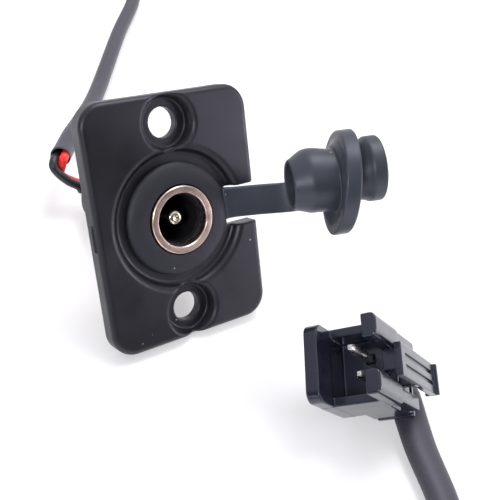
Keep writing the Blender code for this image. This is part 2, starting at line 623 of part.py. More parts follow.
def make_cable_sleeve(table):
    """Sleeved cable from beside the jack, back and round on the table to the plug's rear."""
    lean = Matrix.Rotation(-LEAN, 3, "X")
    start = lean @ SLEEVE_MOUTH + Vector((0, 0, AXIS_HEIGHT))
    facing = lean @ SLEEVE_FACING
    turn = plug_matrix().to_3x3()
    entry = PLUG_PLACE + turn @ Vector((PLUG_END + GAP, 0, TERMINAL_LEVEL))
    along = turn @ Vector((1, 0, 0))
    lie = SLEEVE_R + 0.2 * MM
    route = [start, start - facing * 2.5 * MM, Vector((-0.8, 30.3, 6.8)) * MM, Vector((3.5, 36.3, 4.8)) * MM,
             Vector((8.5, 43.2, 2.8)) * MM, Vector((12.8, 49.3, 1.8)) * MM]
    flat = [(17.5, 56), (27, 69.5), (37.2, 83.1), (40.4, 91.2), (37, 99.3), (28.9, 102.7), (16.4, 100.8),
            (6.9, 92.8), (0.9, 76.3), (-11.6, 41.3), (-24.1, 6.3), (-32.2, -16.7), (-32.1, -24.8),
            (-26.7, -30.8), (-14.3, -37.9), (-2, -45), (3.9, -46.2), (10.8, -43), (12.8, -40.1)]
    route += [Vector((x * MM, y * MM, lie)) for x, y in flat]
    behind_plug = [(15.2, -34.6, 1.6), (16.9, -31.5, 1.65), (18.5, -29.1, 1.65), (19.3, -27.1, 1.9)]
    route += [Vector(point) * MM for point in behind_plug]
    route += [entry + along * 1.2 * MM, entry]
    line = smooth_line(route, 2.4 * SLEEVE_R * 2, SLEEVE_R, 8 * SLEEVE_R)
    for point in line:
        point.z = max(point.z, lie)
    return cord("cable_sleeve", line, SLEEVE_R, "sleeve_rubber", table)


def plug_matrix():
    """The plug's pose on the table, from its rearward and upward directions."""
    x = PLUG_ALONG.normalized()
    z = (PLUG_UP - x * x.dot(PLUG_UP)).normalized()
    y = z.cross(x)
    matrix = Matrix((x, y, z)).transposed().to_4x4()
    matrix.translation = PLUG_PLACE
    return matrix


def make_connector_housing(plug):
    """Shrouded plug housing: long floor, set-back side walls, two guide rails and a stepped rear."""
    half = PLUG_W / 2
    corner = PLUG_FLOOR_CORNER
    outline = [(PLUG_STEP, -half), (PLUG_STEP, half),
               *arc((corner, half - corner), (corner, corner), 90, 180, 5),
               *arc((corner, corner - half), (corner, corner), 180, 270, 5)]
    housing = prism("connector_housing", outline, 0, PLUG_FLOOR_T, "Z", "plug_plastic", plug)

    block = prism("plug_walls", rectangle(PLUG_WALL_FRONT, PLUG_STEP, -half, half),
                  PLUG_FLOOR_T / 2, PLUG_ROOF, "Z", None, plug)
    combine(housing, block, "UNION")
    for side, word in ((1, "left"), (-1, "right")):
        edge = half - RAIL_W
        low, high = PLUG_ROOF - PLUG_ROOF_T, RAIL_TOP
        r = RAIL_ROUND
        outline = [(side * edge, low), (side * half, low), *[(side * u, v) for u, v in
                   arc((half - r, high - r), (r, r), 0, 90, 4) + arc((edge + r, high - r), (r, r), 90, 180, 4)]]
        rail = prism(f"{word}_rail", outline, 0, RAIL_LENGTH, "X", None, plug)
        combine(housing, rail, "UNION")
        step = prism(f"{word}_rail_step", rectangle(side * RAIL_STEP[0], side * RAIL_STEP[1],
                                                    PLUG_ROOF - 1 * MM, RAIL_STEP_TOP),
                     RAIL_LENGTH - 1 * MM, RAIL_STEP_END, "X", None, plug)
        combine(housing, step, "UNION")
    tail = rounded_rectangle(PLUG_REAR_W, PLUG_REAR_TOP - PLUG_REAR_LOW, 0.6 * MM, 3)
    middle = (PLUG_REAR_TOP + PLUG_REAR_LOW) / 2
    tail = [(y, z + middle) for y, z in tail]
    rear = prism("plug_rear", tail, PLUG_STEP - 1 * MM, PLUG_REAR_END + GAP, "X", None, plug)
    combine(housing, rear, "UNION")
    lip = prism("plug_lip", rectangle(-PLUG_LIP_W / 2, PLUG_LIP_W / 2, PLUG_LIP_LOW, PLUG_LIP_TOP),
                PLUG_REAR_END, PLUG_END, "X", None, plug)
    combine(housing, lip, "UNION")

    inside = half - PLUG_WALL_T
    cavity = prism("plug_cavity", rectangle(-inside, inside, PLUG_FLOOR_T, PLUG_ROOF - PLUG_ROOF_T),
                   -GAP, PLUG_CAVITY_END, "X", None, plug)
    combine(housing, cavity, "DIFFERENCE")
    window_half = half - RAIL_W
    window = prism("latch_window", rectangle(-window_half, window_half, PLUG_ROOF - PLUG_ROOF_T - GAP,
                                             RAIL_TOP + GAP),
                   -GAP, PLUG_CAVITY_END, "X", None, plug)
    combine(housing, window, "DIFFERENCE")
    channel = TERMINAL_W / 2 + RUN
    for side, word in ((1, "left"), (-1, "right")):
        y = side * TERMINAL_PITCH / 2
        hole = prism(f"{word}_channel", rectangle(y - channel, y + channel, TERMINAL_LEVEL - channel,
                                                  TERMINAL_LEVEL + channel),
                     PLUG_CAVITY_END - GAP, PLUG_END + GAP, "X", None, plug)
        combine(housing, hole, "DIFFERENCE")
    return housing


def make_connector_lever(hinge):
    """Latch lever: hook in front, grooved finger pad behind, and the web that it rocks on."""
    half = LEVER_W / 2
    outline = [(LEVER_FRONT, LEVER_UNDER), (LEVER_FRONT, LEVER_TOP - 0.1 * MM),
               (LEVER_FRONT + 0.1 * MM, LEVER_TOP), (LEVER_END - LEVER_LIP_T, LEVER_TOP),
               (LEVER_END - LEVER_LIP_T, LEVER_LIP_TOP), (LEVER_END, LEVER_LIP_TOP),
               (LEVER_END, LEVER_LIP_LOW), (LEVER_END - LEVER_LIP_T, LEVER_LIP_LOW),
               (LEVER_END - 2 * LEVER_LIP_T, LEVER_UNDER)]
    web_half = LEVER_WEB_T / 2
    base = PLUG_ROOF + GAP
    outline += [(LEVER_WEB_A + web_half + 0.5 * MM, LEVER_UNDER), (LEVER_WEB_A + web_half, LEVER_UNDER - 0.5 * MM),
                (LEVER_WEB_A + web_half, base), (LEVER_WEB_A - web_half, base),
                (LEVER_WEB_A - web_half, LEVER_UNDER - 0.5 * MM), (LEVER_WEB_A - web_half - 0.5 * MM, LEVER_UNDER)]
    shift = -lever_hinge_point()
    outline = [(x + shift.x, z + shift.z) for x, z in outline]
    lever = prism("connector_lever", outline, -half, half, "Y", "plug_plastic", hinge)

    hook_half = LEVER_HOOK_W / 2
    hook = prism("lever_hook", rectangle(LEVER_FRONT + shift.x, LEVER_FRONT + LEVER_HOOK + shift.x,
                                         LEVER_HOOK_LOW + shift.z, LEVER_TOP - 0.3 * MM + shift.z),
                 -hook_half, hook_half, "Y", None, hinge)
    combine(lever, hook, "UNION")
    for side, word in ((1, "left"), (-1, "right")):
        y = side * GROOVE_OFFSET
        groove = prism(f"{word}_groove", rectangle(LEVER_FRONT + LEVER_HOOK + shift.x,
                                                   LEVER_END - 2 * LEVER_LIP_T + shift.x,
                                                   y - GROOVE_W / 2, y + GROOVE_W / 2),
                       LEVER_TOP - GROOVE_DEPTH + shift.z, LEVER_TOP + GAP + shift.z, "Z", None, hinge)
        combine(lever, groove, "DIFFERENCE")
    return lever


def lever_hinge_point():
    """The web's foot, which the lever rocks on, in the plug's frame."""
    return Vector((LEVER_WEB_A, 0, PLUG_ROOF + GAP))


def make_terminals(plug):
    """Two square pins with tapered tips, from the cavity to the plug's rear."""
    for side, tip, name in ((1, TERMINAL_TIPS[0], "terminal_red"), (-1, TERMINAL_TIPS[1], "terminal_black")):
        half = TERMINAL_W / 2
        sections = [(0, half * 0.55), (TERMINAL_TAPER, half), (PLUG_END - tip, half)]
        rings = [[(x, u * size, v * size) for u, v in ((-1, -1), (1, -1), (1, 1), (-1, 1))]
                 for x, size in sections]
        loft(name, rings, "tin", plug, (tip, side * TERMINAL_PITCH / 2, TERMINAL_LEVEL))


def centre_on_origin(table):
    """Move the table frame so that the inlet, without its lead, stands in the middle of the origin."""
    lead = ("wire_", "cable_", "connector_", "terminal_")
    bpy.context.view_layer.update()
    graph = bpy.context.evaluated_depsgraph_get()
    corners = []
    for item in bpy.data.objects:
        if item.type in {"MESH", "CURVE"} and not item.hide_render and not item.name.startswith(lead):
            evaluated = item.evaluated_get(graph)
            mesh = evaluated.to_mesh()
            corners += [item.matrix_world @ vertex.co for vertex in mesh.vertices]
            evaluated.to_mesh_clear()
    points = np.array(corners)
    middle = (points.min(axis=0) + points.max(axis=0)) / 2
    table.location = (-middle[0], -middle[1], 0)


def main():
    """Build the frames, then each piece in its frame."""
    clear_scene()
    table = add_empty("table_frame")
    lean = Matrix.Translation((0, 0, AXIS_HEIGHT)) @ Matrix.Rotation(-LEAN, 4, "X")
    inlet = add_empty("inlet_frame", table, lean)
    hinge = add_empty("cap_hinge", inlet, Matrix.Translation(CAP_HINGE_POINT) @ cap_turn())
    plug = add_empty("connector_frame", table, plug_matrix())
    lever_hinge = add_empty("lever_hinge", plug, Matrix.Translation(lever_hinge_point()))
    make_flange_plate(inlet)
    make_rubber_boot(inlet)
    make_jack_shell(inlet)
    make_jack_body(inlet)
    make_centre_pin(inlet)
    make_sleeve_spring(inlet)
    make_switch_tag(inlet)
    make_pin_tag(inlet)
    make_lock_washer(inlet)
    make_jack_nut(inlet)
    make_dust_cap(hinge)
    make_cap_strap(inlet)
    make_wires(inlet)
    make_cable_sleeve(table)
    make_connector_housing(plug)
    make_connector_lever(lever_hinge)
    make_terminals(plug)
    centre_on_origin(table)
    bpy.context.view_layer.update()


if __name__ == "__main__":
    main()
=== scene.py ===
"""Finished look of a panel charge port inlet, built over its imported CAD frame.

Shapes are worked out in millimetres in the frame of the piece that they belong to, and put into the row's
frame, in metres, as they go into a mesh. The frames are the ones of the part's source:
  INLET  origin on the jack's axis at the flange's front face, +Y into the panel, +Z up the flange
  CAP    origin in the middle of the dust cap's sealing face, +Y out of its nose
  PLUG   origin at the front of the plug's housing, +X to its rear, +Z towards its latch lever
"""

import math

import bmesh
import bpy
import numpy as np
from bpy.props import FloatProperty, FloatVectorProperty, IntProperty, PointerProperty
from mathutils import Matrix, Vector


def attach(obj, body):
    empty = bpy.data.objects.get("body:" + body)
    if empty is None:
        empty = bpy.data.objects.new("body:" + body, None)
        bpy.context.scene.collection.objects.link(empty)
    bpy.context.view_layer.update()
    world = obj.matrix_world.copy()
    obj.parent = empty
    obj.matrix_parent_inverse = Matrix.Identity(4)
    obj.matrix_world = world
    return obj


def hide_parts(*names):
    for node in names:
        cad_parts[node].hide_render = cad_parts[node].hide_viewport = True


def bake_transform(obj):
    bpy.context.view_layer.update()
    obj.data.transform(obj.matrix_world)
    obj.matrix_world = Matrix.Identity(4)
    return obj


bl_info = {
    "name": "Charge Port Inlet",
    "version": (1, 0, 0),
    "blender": (4, 5, 0),
    "location": "View3D > Sidebar > Charge Port",
    "description": "Builds the finished look of a panel charge port inlet over its CAD frame",
    "category": "Object",
}

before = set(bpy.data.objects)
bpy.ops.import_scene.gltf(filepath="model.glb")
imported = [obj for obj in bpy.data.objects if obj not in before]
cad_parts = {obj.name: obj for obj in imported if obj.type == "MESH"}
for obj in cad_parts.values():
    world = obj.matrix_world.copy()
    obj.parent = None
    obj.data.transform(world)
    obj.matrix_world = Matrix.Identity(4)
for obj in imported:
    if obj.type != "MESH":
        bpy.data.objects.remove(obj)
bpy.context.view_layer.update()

MM = 0.001

# Sizes in millimetres: those of the part's source, or close to them where the photograph asks for it.
# TABLE_SHIFT is the point of the table under the inlet's origin, and PLUG_PLACE is measured from it.
# The hinge and the sleeve's mouth are in the inlet's frame.
TABLE_SHIFT = Vector((-2.4066, -2.2673, 0.0))

PLATE_W, PLATE_H, PLATE_T, PLATE_CORNER = 22.2, 30.4, 2.5, 3.0
SCREW_AT, SCREW_R = 11.7, 1.85
SEAT_R, SEAT_DEPTH, SEAT_DRAFT = 3.15, 1.7, 0.3
BOSS_R, BOSS_START, BOSS_TOP = 2.9, 1.2, 3.1
RECESS_R, RECESS_DRAFT, RECESS_DEPTH = 8.7, 0.5, 1.2
PLATE_HOLE_R = 5.5
NOTCH_W, NOTCH_START = 5.0, 7.2
GATE_W, GATE_LOW, GATE_HIGH, GATE_PROUD = 3.3, 0.7, 1.8, 0.25

BOOT_R, BOOT_SEAT, BOOT_DOME_H = 7.0, 0.9, 1.0
BOOT_FACE_R, BOOT_FACE = 4.6, BOOT_SEAT - BOOT_DOME_H
BOOT_RING_R, BOOT_BORE_R, BOOT_STEM_R = 4.34, 4.07, 5.2
BOOT_LIP_R, BOOT_LIP_FRONT, BOOT_BACK, BOOT_LIP_CHAMFER = 6.6, 2.8, 3.9, 0.15

RING_R, RING_BORE_R, RING_FRONT, RING_BACK = 4.2, 3.27, -0.4, 0.6
RING_CHAMFER_IN, RING_CHAMFER_OUT = (0.13, 0.16), 0.12
BORE_STEP = (3.42, 1.9)
BARREL_R, BARREL_BORE_R, BARREL_END = 3.95, 3.45, 14.0
THREAD_START, THREAD_END, THREAD_ROWS = 4.2, 13.9, 196
NECK_R, NECK_FRONT, NECK_END = 3.25, 0.35, 15.0
SOCKET_R, SOCKET_FLOOR, SOCKET_LEAD = 2.9, 12.8, 1.4
SLOT_W = 2.2
DRUM_START, JACK_REAR, REAR_R, DRUM_ROUND = 14.3, 21.95, 4.0, 0.25
PIN_R, PIN_STEP, PIN_STEM_R = 1.0, 19.7, 0.75
PIN_HEAD_R, PIN_HEAD, PIN_END = 1.1, 22.85, 23.28
WASHER_R, WASHER_FRONT, WASHER_BACK, WASHER_TEETH, WASHER_TOOTH = 6.0, 4.15, 4.65, 10, 0.35
NUT_FLAT, NUT_FRONT, NUT_BACK, NUT_HOLE_R = 5.5, 4.9, 7.1, 4.07

PLATE_FOOT = (2.35, PLATE_H / 2)
JACK_FOOT = (JACK_REAR - 0.2, REAR_R)
LEAN = math.atan2(PLATE_FOOT[1] - JACK_FOOT[1], JACK_FOOT[0] - PLATE_FOOT[0])
AXIS_HEIGHT = PLATE_FOOT[1] * math.cos(LEAN) + PLATE_FOOT[0] * math.sin(LEAN)

HINGE_POINT = Vector((18.03, -2.16, 3.04))
HINGE_LINE = Vector((-0.137, 0.212, 0.968))
CAP_TURN = math.radians(66.5)
CAP_CLOSED = Vector((0.0, -0.65, 0.0))
HOLLOW_R, HOLLOW_MOUTH_R, HOLLOW_FLOOR = 2.3, 2.25, 0.9
NOSE_R, NOSE_ROOT_R, NOSE_END_R, NOSE_STRAIGHT, NOSE_LENGTH = 3.3, 3.34, 2.6, 2.85, 4.72
CAP_FLANGE_R, CAP_FLANGE_T = 5.5, 1.65
CAP_NECK_R, CAP_NECK_LENGTH, CAP_KNOB_R, CAP_BACK, CAP_END = 2.6, 1.7, 3.5, 4.75, 4.9
STRAP_W, STRAP_T, STRAP_ROUND = 3.85, 0.85, 0.27

SLEEVE_R, WIRE_R, WIRE_SPREAD = 1.4, 0.625, 0.66
SLEEVE_MOUTH = Vector((-5.1, 24.0, 6.8))
SLEEVE_FACING = Vector((-0.57, -0.79, -0.23)).normalized()
SLEEVE_LIFT = 0.2

PLUG_PLACE = Vector((3.76, -22.13, 9.99))
PLUG_ALONG = Vector((0.745, -0.061, -0.664))
PLUG_UP = Vector((0.513, -0.584, 0.629))
PLUG_W, PLUG_WALL_T, PLUG_FLOOR_T, PLUG_FLOOR_CORNER = 9.0, 1.05, 1.69, 1.3
PLUG_WALL_FRONT, PLUG_STEP, PLUG_CAVITY_END = 3.69, 10.04, 7.18
PLUG_ROOF, PLUG_ROOF_T = 7.3, 0.3
RAIL_W, RAIL_LENGTH, RAIL_LOW, RAIL_TOP, RAIL_CROWN = 2.75, 7.1, 7.0, 8.78, 0.8
RAIL_STEP, RAIL_STEP_TOP, RAIL_STEP_END = (2.5, 4.1), 8.6, 12.9
PLUG_REAR_W, PLUG_REAR_LOW, PLUG_REAR_END = 8.6, 2.2, 14.0
PLUG_LIP_W, PLUG_LIP_T, PLUG_LIP_LOW, PLUG_LIP_TOP = 8.9, 0.8, 2.8, 7.45
TERMINAL_PITCH, TERMINAL_LEVEL, TERMINAL_HOLE_W = 2.5, 5.13, 1.09

LEVER_W, LEVER_FRONT, LEVER_UNDER, LEVER_TOP, LEVER_END = 3.82, 4.01, 9.08, 9.95, 16.09
LEVER_HOOK, LEVER_HOOK_W, LEVER_HOOK_LOW = 1.3, 2.4, 7.7
LEVER_LIP_T, LEVER_LIP_LOW, LEVER_LIP_TOP = 0.5, 8.6, 10.35
LEVER_WEB = (9.1, 10.1)
GROOVE_W, GROOVE_DEPTH, GROOVE_OFFSET = 0.45, 0.3, 0.65

# Finish
WHITE = (1.0, 1.0, 1.0, 1.0)
DUST_COLOUR = (0.5, 0.5, 0.52, 1.0)
SPECULAR_TINT = (0.84, 0.84, 1.0, 1.0)
TIN_COLOUR = (0.80, 0.79, 0.77, 1.0)
NICKEL_TARNISH = (0.40, 0.28, 0.24, 1.0)
NUT_TARNISH = (0.55, 0.47, 0.42, 1.0)
BRASS_TARNISH = (0.70, 0.60, 0.45, 1.0)

# Stage, in metres: the photograph's camera, and each lamp's name, place, side, share of the power and colour
CAMERA_AXES = (Vector((0.81309, -0.54654, 0.20041)), Vector((0.24254, 0.63103, 0.73687)),
               Vector((-0.52920, -0.55053, 0.64565)))
CAMERA_PLACE = Vector((-0.0433677, -0.0577974, 0.0703515))
LIT_MIDDLE = Vector((0.0, 0.0, 0.01))
LAMPS = (("key_lamp", (-0.34, -0.20, 0.26), 0.12, 0.5, (1.0, 1.0, 1.0)),
         ("overhead_lamp", (0.12, 0.10, 0.42), 0.20, 0.5, (1.0, 1.0, 1.0)),
         ("right_lamp", (0.35, -0.27, 0.12), 0.16, 0.45, (0.98, 0.93, 1.0)))
FLOOR_PAINT = (0.86, 0.86, 0.875, 1.0)
FLOOR_PAINT_SEEN = (0.66, 0.65, 0.67, 1.0)
FLOOR_GLOW = 0.34
ROOM_COLOUR = (0.97, 0.97, 1.0, 1.0)
ROOM_BRIGHT_SIDE = (0.35, 0.60, 0.72)


def plug_frame():
    """Plug's pose on the table, from its rearward and upward directions."""
    x = PLUG_ALONG.normalized()
    z = (PLUG_UP - x * x.dot(PLUG_UP)).normalized()
    matrix = Matrix((x, z.cross(x), z)).transposed().to_4x4()
    matrix.translation = TABLE_SHIFT + PLUG_PLACE
    return matrix


ROW = Matrix.Identity(4)
INLET = Matrix.Translation(TABLE_SHIFT + Vector((0, 0, AXIS_HEIGHT))) @ Matrix.Rotation(-LEAN, 4, "X")
CAP = (INLET @ Matrix.Translation(HINGE_POINT) @ Matrix.Rotation(CAP_TURN, 4, HINGE_LINE.normalized())
       @ Matrix.Translation(CAP_CLOSED - HINGE_POINT))
PLUG = plug_frame()


# Surfaces

def skin(name, points, faces, place, material):
    """Mesh object from an array of points in millimetres and an array of quads, poles merged."""
    matrix = np.array(place)
    world = (points.reshape(-1, 3) @ matrix[:3, :3].T + matrix[:3, 3]) * MM
    mesh = bpy.data.meshes.new(name)
    mesh.from_pydata(world, [], faces)
    bm = bmesh.new()
    bm.from_mesh(mesh)
    bmesh.ops.remove_doubles(bm, verts=bm.verts, dist=2e-7)
    bmesh.ops.recalc_face_normals(bm, faces=bm.faces)
    bm.to_mesh(mesh)
    bm.free()
    mesh.shade_smooth()
    item = bpy.data.objects.new(name, mesh)
    bpy.context.collection.objects.link(item)
    mesh.materials.append(material)
    return item


def grid_faces(rows, columns, round_rows=False, round_columns=False):
    """Quads between neighbours on a grid of points, joined round where asked."""
    i, j = np.meshgrid(np.arange(rows if round_rows else rows - 1),
                       np.arange(columns if round_columns else columns - 1), indexing="ij")
    i2, j2 = (i + 1) % rows, (j + 1) % columns
    corners = [i * columns + j, i2 * columns + j, i2 * columns + j2, i * columns + j2]
    return np.stack(corners, axis=-1).reshape(-1, 4)


def softened(profile, radius, steps=5, spacing=0.3):
    """Profile whose corners become short curves tangent to both sides, with long sides split up.

    A corner C between points A and B away along its sides follows (1-t)^2 A + 2t(1-t) C + t^2 B.
    """
    points = np.asarray(profile, float)
    radii = np.broadcast_to(np.asarray(radius, float), len(points))
    t = np.linspace(0, 1, steps + 1)[:, None]
    parts = [points[:1]]
    for before, corner, after, size in zip(points, points[1:], points[2:], radii[1:]):
        back, ahead = before - corner, after - corner
        reach = min(size, 0.48 * np.linalg.norm(back), 0.48 * np.linalg.norm(ahead))
        start = corner + back / np.linalg.norm(back) * reach
        end = corner + ahead / np.linalg.norm(ahead) * reach
        parts.append((1 - t) ** 2 * start + 2 * t * (1 - t) * corner + t ** 2 * end)
    parts.append(points[-1:])
    line = np.concatenate(parts)
    gaps = np.linalg.norm(np.diff(line, axis=0), axis=1)
    pieces = [np.linspace(a, b, max(1, math.ceil(gap / spacing)), endpoint=False)
              for a, b, gap in zip(line, line[1:], gaps)]
    return np.concatenate([*pieces, line[-1:]])


def turned(name, profile, place, material, steps, change=None):
    """Surface of revolution: at angle a, profile point (r, y) lies at (r cos a, y, r sin a)."""
    radius, along = np.asarray(profile, float).T
    angle = np.linspace(0, 2 * math.pi, steps, endpoint=False)[:, None]
    height = np.broadcast_to(along, (steps, len(along)))
    points = np.stack([radius * np.cos(angle), height, radius * np.sin(angle)], axis=-1)
    if change is not None:
        points = change(points)
    ring = not (radius[0] == 0 and radius[-1] == 0)
    return skin(name, points, grid_faces(steps, len(radius), True, ring), place, material)


def distance_along(line):
    """Distance from a line's start to each of its points."""
    return np.concatenate([[0], np.cumsum(np.linalg.norm(np.diff(line, axis=0), axis=1))])


def smooth_path(knots, spacing):
    """Evenly spaced points on a Catmull-Rom curve through the knots."""
    knots = np.asarray([tuple(knot) for knot in knots], float)
    ends = np.concatenate([[2 * knots[0] - knots[1]], knots, [2 * knots[-1] - knots[-2]]])
    t = (np.arange(40) / 40)[None, :, None]
    before, start, end, after = (ends[k:len(ends) - 3 + k, None, :] for k in range(4))
    fine = 0.5 * (2 * start + (end - before) * t + (2 * before - 5 * start + 4 * end - after) * t ** 2
                  + (3 * start - before - 3 * end + after) * t ** 3)
    path = np.concatenate([fine.reshape(-1, 3), knots[-1:]])
    run = distance_along(path)
    wanted = np.linspace(0, run[-1], max(2, round(run[-1] / spacing)) + 1)
    return np.stack([np.interp(wanted, run, path[:, k]) for k in range(3)], axis=1)


def unit(vectors):
    """Vectors scaled to length one."""
    return vectors / np.linalg.norm(vectors, axis=-1, keepdims=True)


def carried(line, first):
    """Direction carried along a path without twist: at each step what points along the path is taken out."""
    ahead = unit(np.gradient(line, axis=0))
    rise = [np.asarray(first, float)]
    for direction in ahead:
        kept = rise[-1] - direction * np.dot(rise[-1], direction)
        rise.append(kept / np.linalg.norm(kept))
    return np.array(rise[1:])


def swept(line, rise, stations, across, through, outline):
    """Profile carried along a path.

    At distance s along the path and outline point (u, v), the surface lies at
    path(s) + side(s) u across(s) + rise(s) v through(s), where side is square to the path and to rise.
    """
    run = distance_along(line)
    ahead = unit(np.gradient(line, axis=0))
    side = unit(np.cross(ahead, rise))
    rise = np.cross(side, ahead)
    pick = [np.stack([np.interp(stations, run, field[:, k]) for k in range(3)], axis=1)
            for field in (line, side, rise)]
    centre, side, rise = (field[:, None, :] for field in pick)
    u = outline[None, :, 0, None] * across[:, None, None]
    v = outline[None, :, 1, None] * through[:, None, None]
    return centre + side * u + rise * v


def circle(steps):
    """Points round the unit circle."""
    angle = np.linspace(0, 2 * math.pi, steps, endpoint=False)
    return np.stack([np.cos(angle), np.sin(angle)], axis=1)


def eased(share):
    """Share kept from 0 to 1, with a smooth start and end."""
    share = np.clip(share, 0, 1)
    return share * share * (3 - 2 * share)


# Solids given by a distance field, negative inside

def meet(a, b, radius):
    """Part of a that lies in b, the edge between them rounded to the radius."""
    past = np.hypot(np.maximum(radius + a, 0), np.maximum(radius + b, 0))
    return np.minimum(-radius, np.maximum(a, b)) + past


def cut(a, b, radius):
    """What is left of a outside b, the edge between them rounded to the radius."""
    return meet(a, -b, radius)


def join(a, b, radius):
    """a and b together, the corner between them filled to the radius."""
    short = np.hypot(np.maximum(radius - a, 0), np.maximum(radius - b, 0))
    return np.maximum(radius, np.minimum(a, b)) - short


def join_all(solids):
    """Solids joined one after another, each given with the radius that fills its corners."""
    (body, _), *others = solids
    for other, radius in others:
        body = join(body, other, radius)
    return body


def rounded(a, b, radius):
    """Outline with a round corner, from the distances past the two lines through the corner's centre."""
    return np.hypot(np.maximum(a, 0), np.maximum(b, 0)) + np.minimum(np.maximum(a, b), 0) - radius


def block(p, low, high, radius):
    """Box between two corners, all its edges rounded."""
    low, high = np.asarray(low, float), np.asarray(high, float)
    q = np.abs(p - (low + high) / 2) - ((high - low) / 2 - radius)
    return np.linalg.norm(np.maximum(q, 0), axis=-1) + np.minimum(q.max(axis=-1), 0) - radius


def moulded(name, field, low, high, cell, place, material):
    """Skin of the solid where the field is negative.

    One point stands in each cell of a grid that the skin crosses. It starts at the mean of the crossings on
    the cell's edges and is pulled onto the skin along the field's slope. A quad spans each edge that crosses.
    """
    axes = [np.arange(a, b + cell, cell) for a, b in zip(low, high)]
    value = field(np.stack(np.meshgrid(*axes, indexing="ij"), axis=-1))
    inside = value < 0
    corners = [(i, j, k) for i in (0, 1) for j in (0, 1) for k in (0, 1)]
    shape = tuple(n - 1 for n in value.shape)

    def at(array, corner):
        return array[tuple(slice(c, c + n) for c, n in zip(corner, shape))]

    count = sum(at(inside, corner).astype(int) for corner in corners)
    crossed = (count > 0) & (count < 8)
    cells = np.argwhere(crossed)
    index = np.full(shape, -1)
    index[crossed] = np.arange(len(cells))
    total = np.zeros((len(cells), 3))
    hits = np.zeros((len(cells), 1))
    for axis in range(3):
        step = np.eye(3, dtype=int)[axis]
        for corner in (c for c in corners if c[axis] == 0):
            near = at(value, corner)[crossed]
            far = at(value, tuple(np.add(corner, step)))[crossed]
            crosses = ((near < 0) != (far < 0))[:, None]
            share = (near / np.where(near == far, 1, near - far))[:, None]
            total += np.where(crosses, np.asarray(corner) + step * share, 0)
            hits += crosses
    points = np.asarray(low) + cell * (cells + total / hits)
    nudge = cell / 50
    for _ in range(4):
        rises = [field(points + d) - field(points - d) for d in np.eye(3) * nudge]
        slope = np.stack(rises, axis=-1) / (2 * nudge)
        pull = slope * (field(points) / np.maximum((slope ** 2).sum(axis=-1), 0.2))[:, None]
        points -= np.clip(pull, -cell / 2, cell / 2)
    faces = []
    for axis in range(3):
        b, c = (axis + 1) % 3, (axis + 2) % 3
        low_side = np.take(inside, range(value.shape[axis] - 1), axis)
        high_side = np.take(inside, range(1, value.shape[axis]), axis)
        edges = np.argwhere(low_side != high_side)
        kept = (edges[:, b] > 0) & (edges[:, c] > 0) & (edges[:, b] < shape[b]) & (edges[:, c] < shape[c])
        edges = edges[kept]
        leaves = low_side[tuple(edges.T)]
        ring = []
        for db, dc in ((-1, -1), (0, -1), (0, 0), (-1, 0)):
            near = edges.copy()
            near[:, b] += db
            near[:, c] += dc
            ring.append(index[tuple(near.T)])
        quad = np.stack(ring, axis=1)
        faces.append(np.where(leaves[:, None], quad, quad[:, ::-1]))
    return skin(name, points, np.concatenate(faces), place, material)


def refined(node, name, width, material):
    """CAD node's own shape with its edges eased: a merged copy with a bevel."""
    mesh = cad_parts[node].data.copy()
    mesh.name = name
    bm = bmesh.new()
    bm.from_mesh(mesh)
    bmesh.ops.remove_doubles(bm, verts=bm.verts, dist=1e-6)
    bmesh.ops.dissolve_limit(bm, angle_limit=math.radians(1), verts=bm.verts, edges=bm.edges)
    sharp = [edge for edge in bm.edges if edge.is_manifold and edge.calc_face_angle(0) > math.radians(30)]
    bmesh.ops.bevel(bm, geom=sharp, offset=width * MM, segments=3, profile=0.5, affect="EDGES",
                    clamp_overlap=True)
    bm.to_mesh(mesh)
    bm.free()
    mesh.shade_smooth()
    mesh.set_sharp_from_angle(angle=math.radians(40))
    mesh.materials.clear()
    mesh.materials.append(material)
    item = bpy.data.objects.new(name, mesh)
    bpy.context.collection.objects.link(item)
    return item


def settle(item, body, slot, *nodes):
    """Attach a finished piece to the body it rides on and hide the CAD nodes it stands for. The slot is not
    used.
    """
    if nodes:
        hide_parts(*nodes)
    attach(item, body)
    return item


# Shader nodes

def add(tree, kind, inputs=None, **settings):
    """New node with settings, and inputs that are values or other nodes' sockets."""
    node = tree.nodes.new(kind)
    for key, value in settings.items():
        setattr(node, key, value)
    for key, value in (inputs or {}).items():
        if isinstance(value, bpy.types.NodeSocket):
            tree.links.new(value, node.inputs[key])
        else:
            node.inputs[key].default_value = value
    return node


def use(tree, made, inputs):
    """Outputs of a node group placed in a material."""
    return add(tree, "ShaderNodeGroup", inputs, node_tree=made).outputs


def math_node(tree, operation, a, b):
    """One step of arithmetic."""
    return add(tree, "ShaderNodeMath", {0: a, 1: b}, operation=operation).outputs[0]


def noise(tree, vector, scale, detail, roughness=0.5):
    """Cloudy pattern with values from 0 to 1."""
    inputs = {"Vector": vector, "Scale": scale, "Detail": detail, "Roughness": roughness}
    return add(tree, "ShaderNodeTexNoise", inputs).outputs["Fac"]


def ramp(tree, value, low, high, start=0.0, end=1.0):
    """Value carried from the range low to high into the range start to end."""
    inputs = {"Value": value, "From Min": low, "From Max": high, "To Min": start, "To Max": end}
    return add(tree, "ShaderNodeMapRange", inputs).outputs[0]


def blend_colour(tree, share, a, b):
    """Mix of two colours by a share from 0 to 1."""
    return add(tree, "ShaderNodeMix", {0: share, 6: a, 7: b}, data_type="RGBA").outputs[2]


def scaled(colour, factor):
    """Colour times a factor, opaque."""
    return (colour[0] * factor, colour[1] * factor, colour[2] * factor, 1.0)


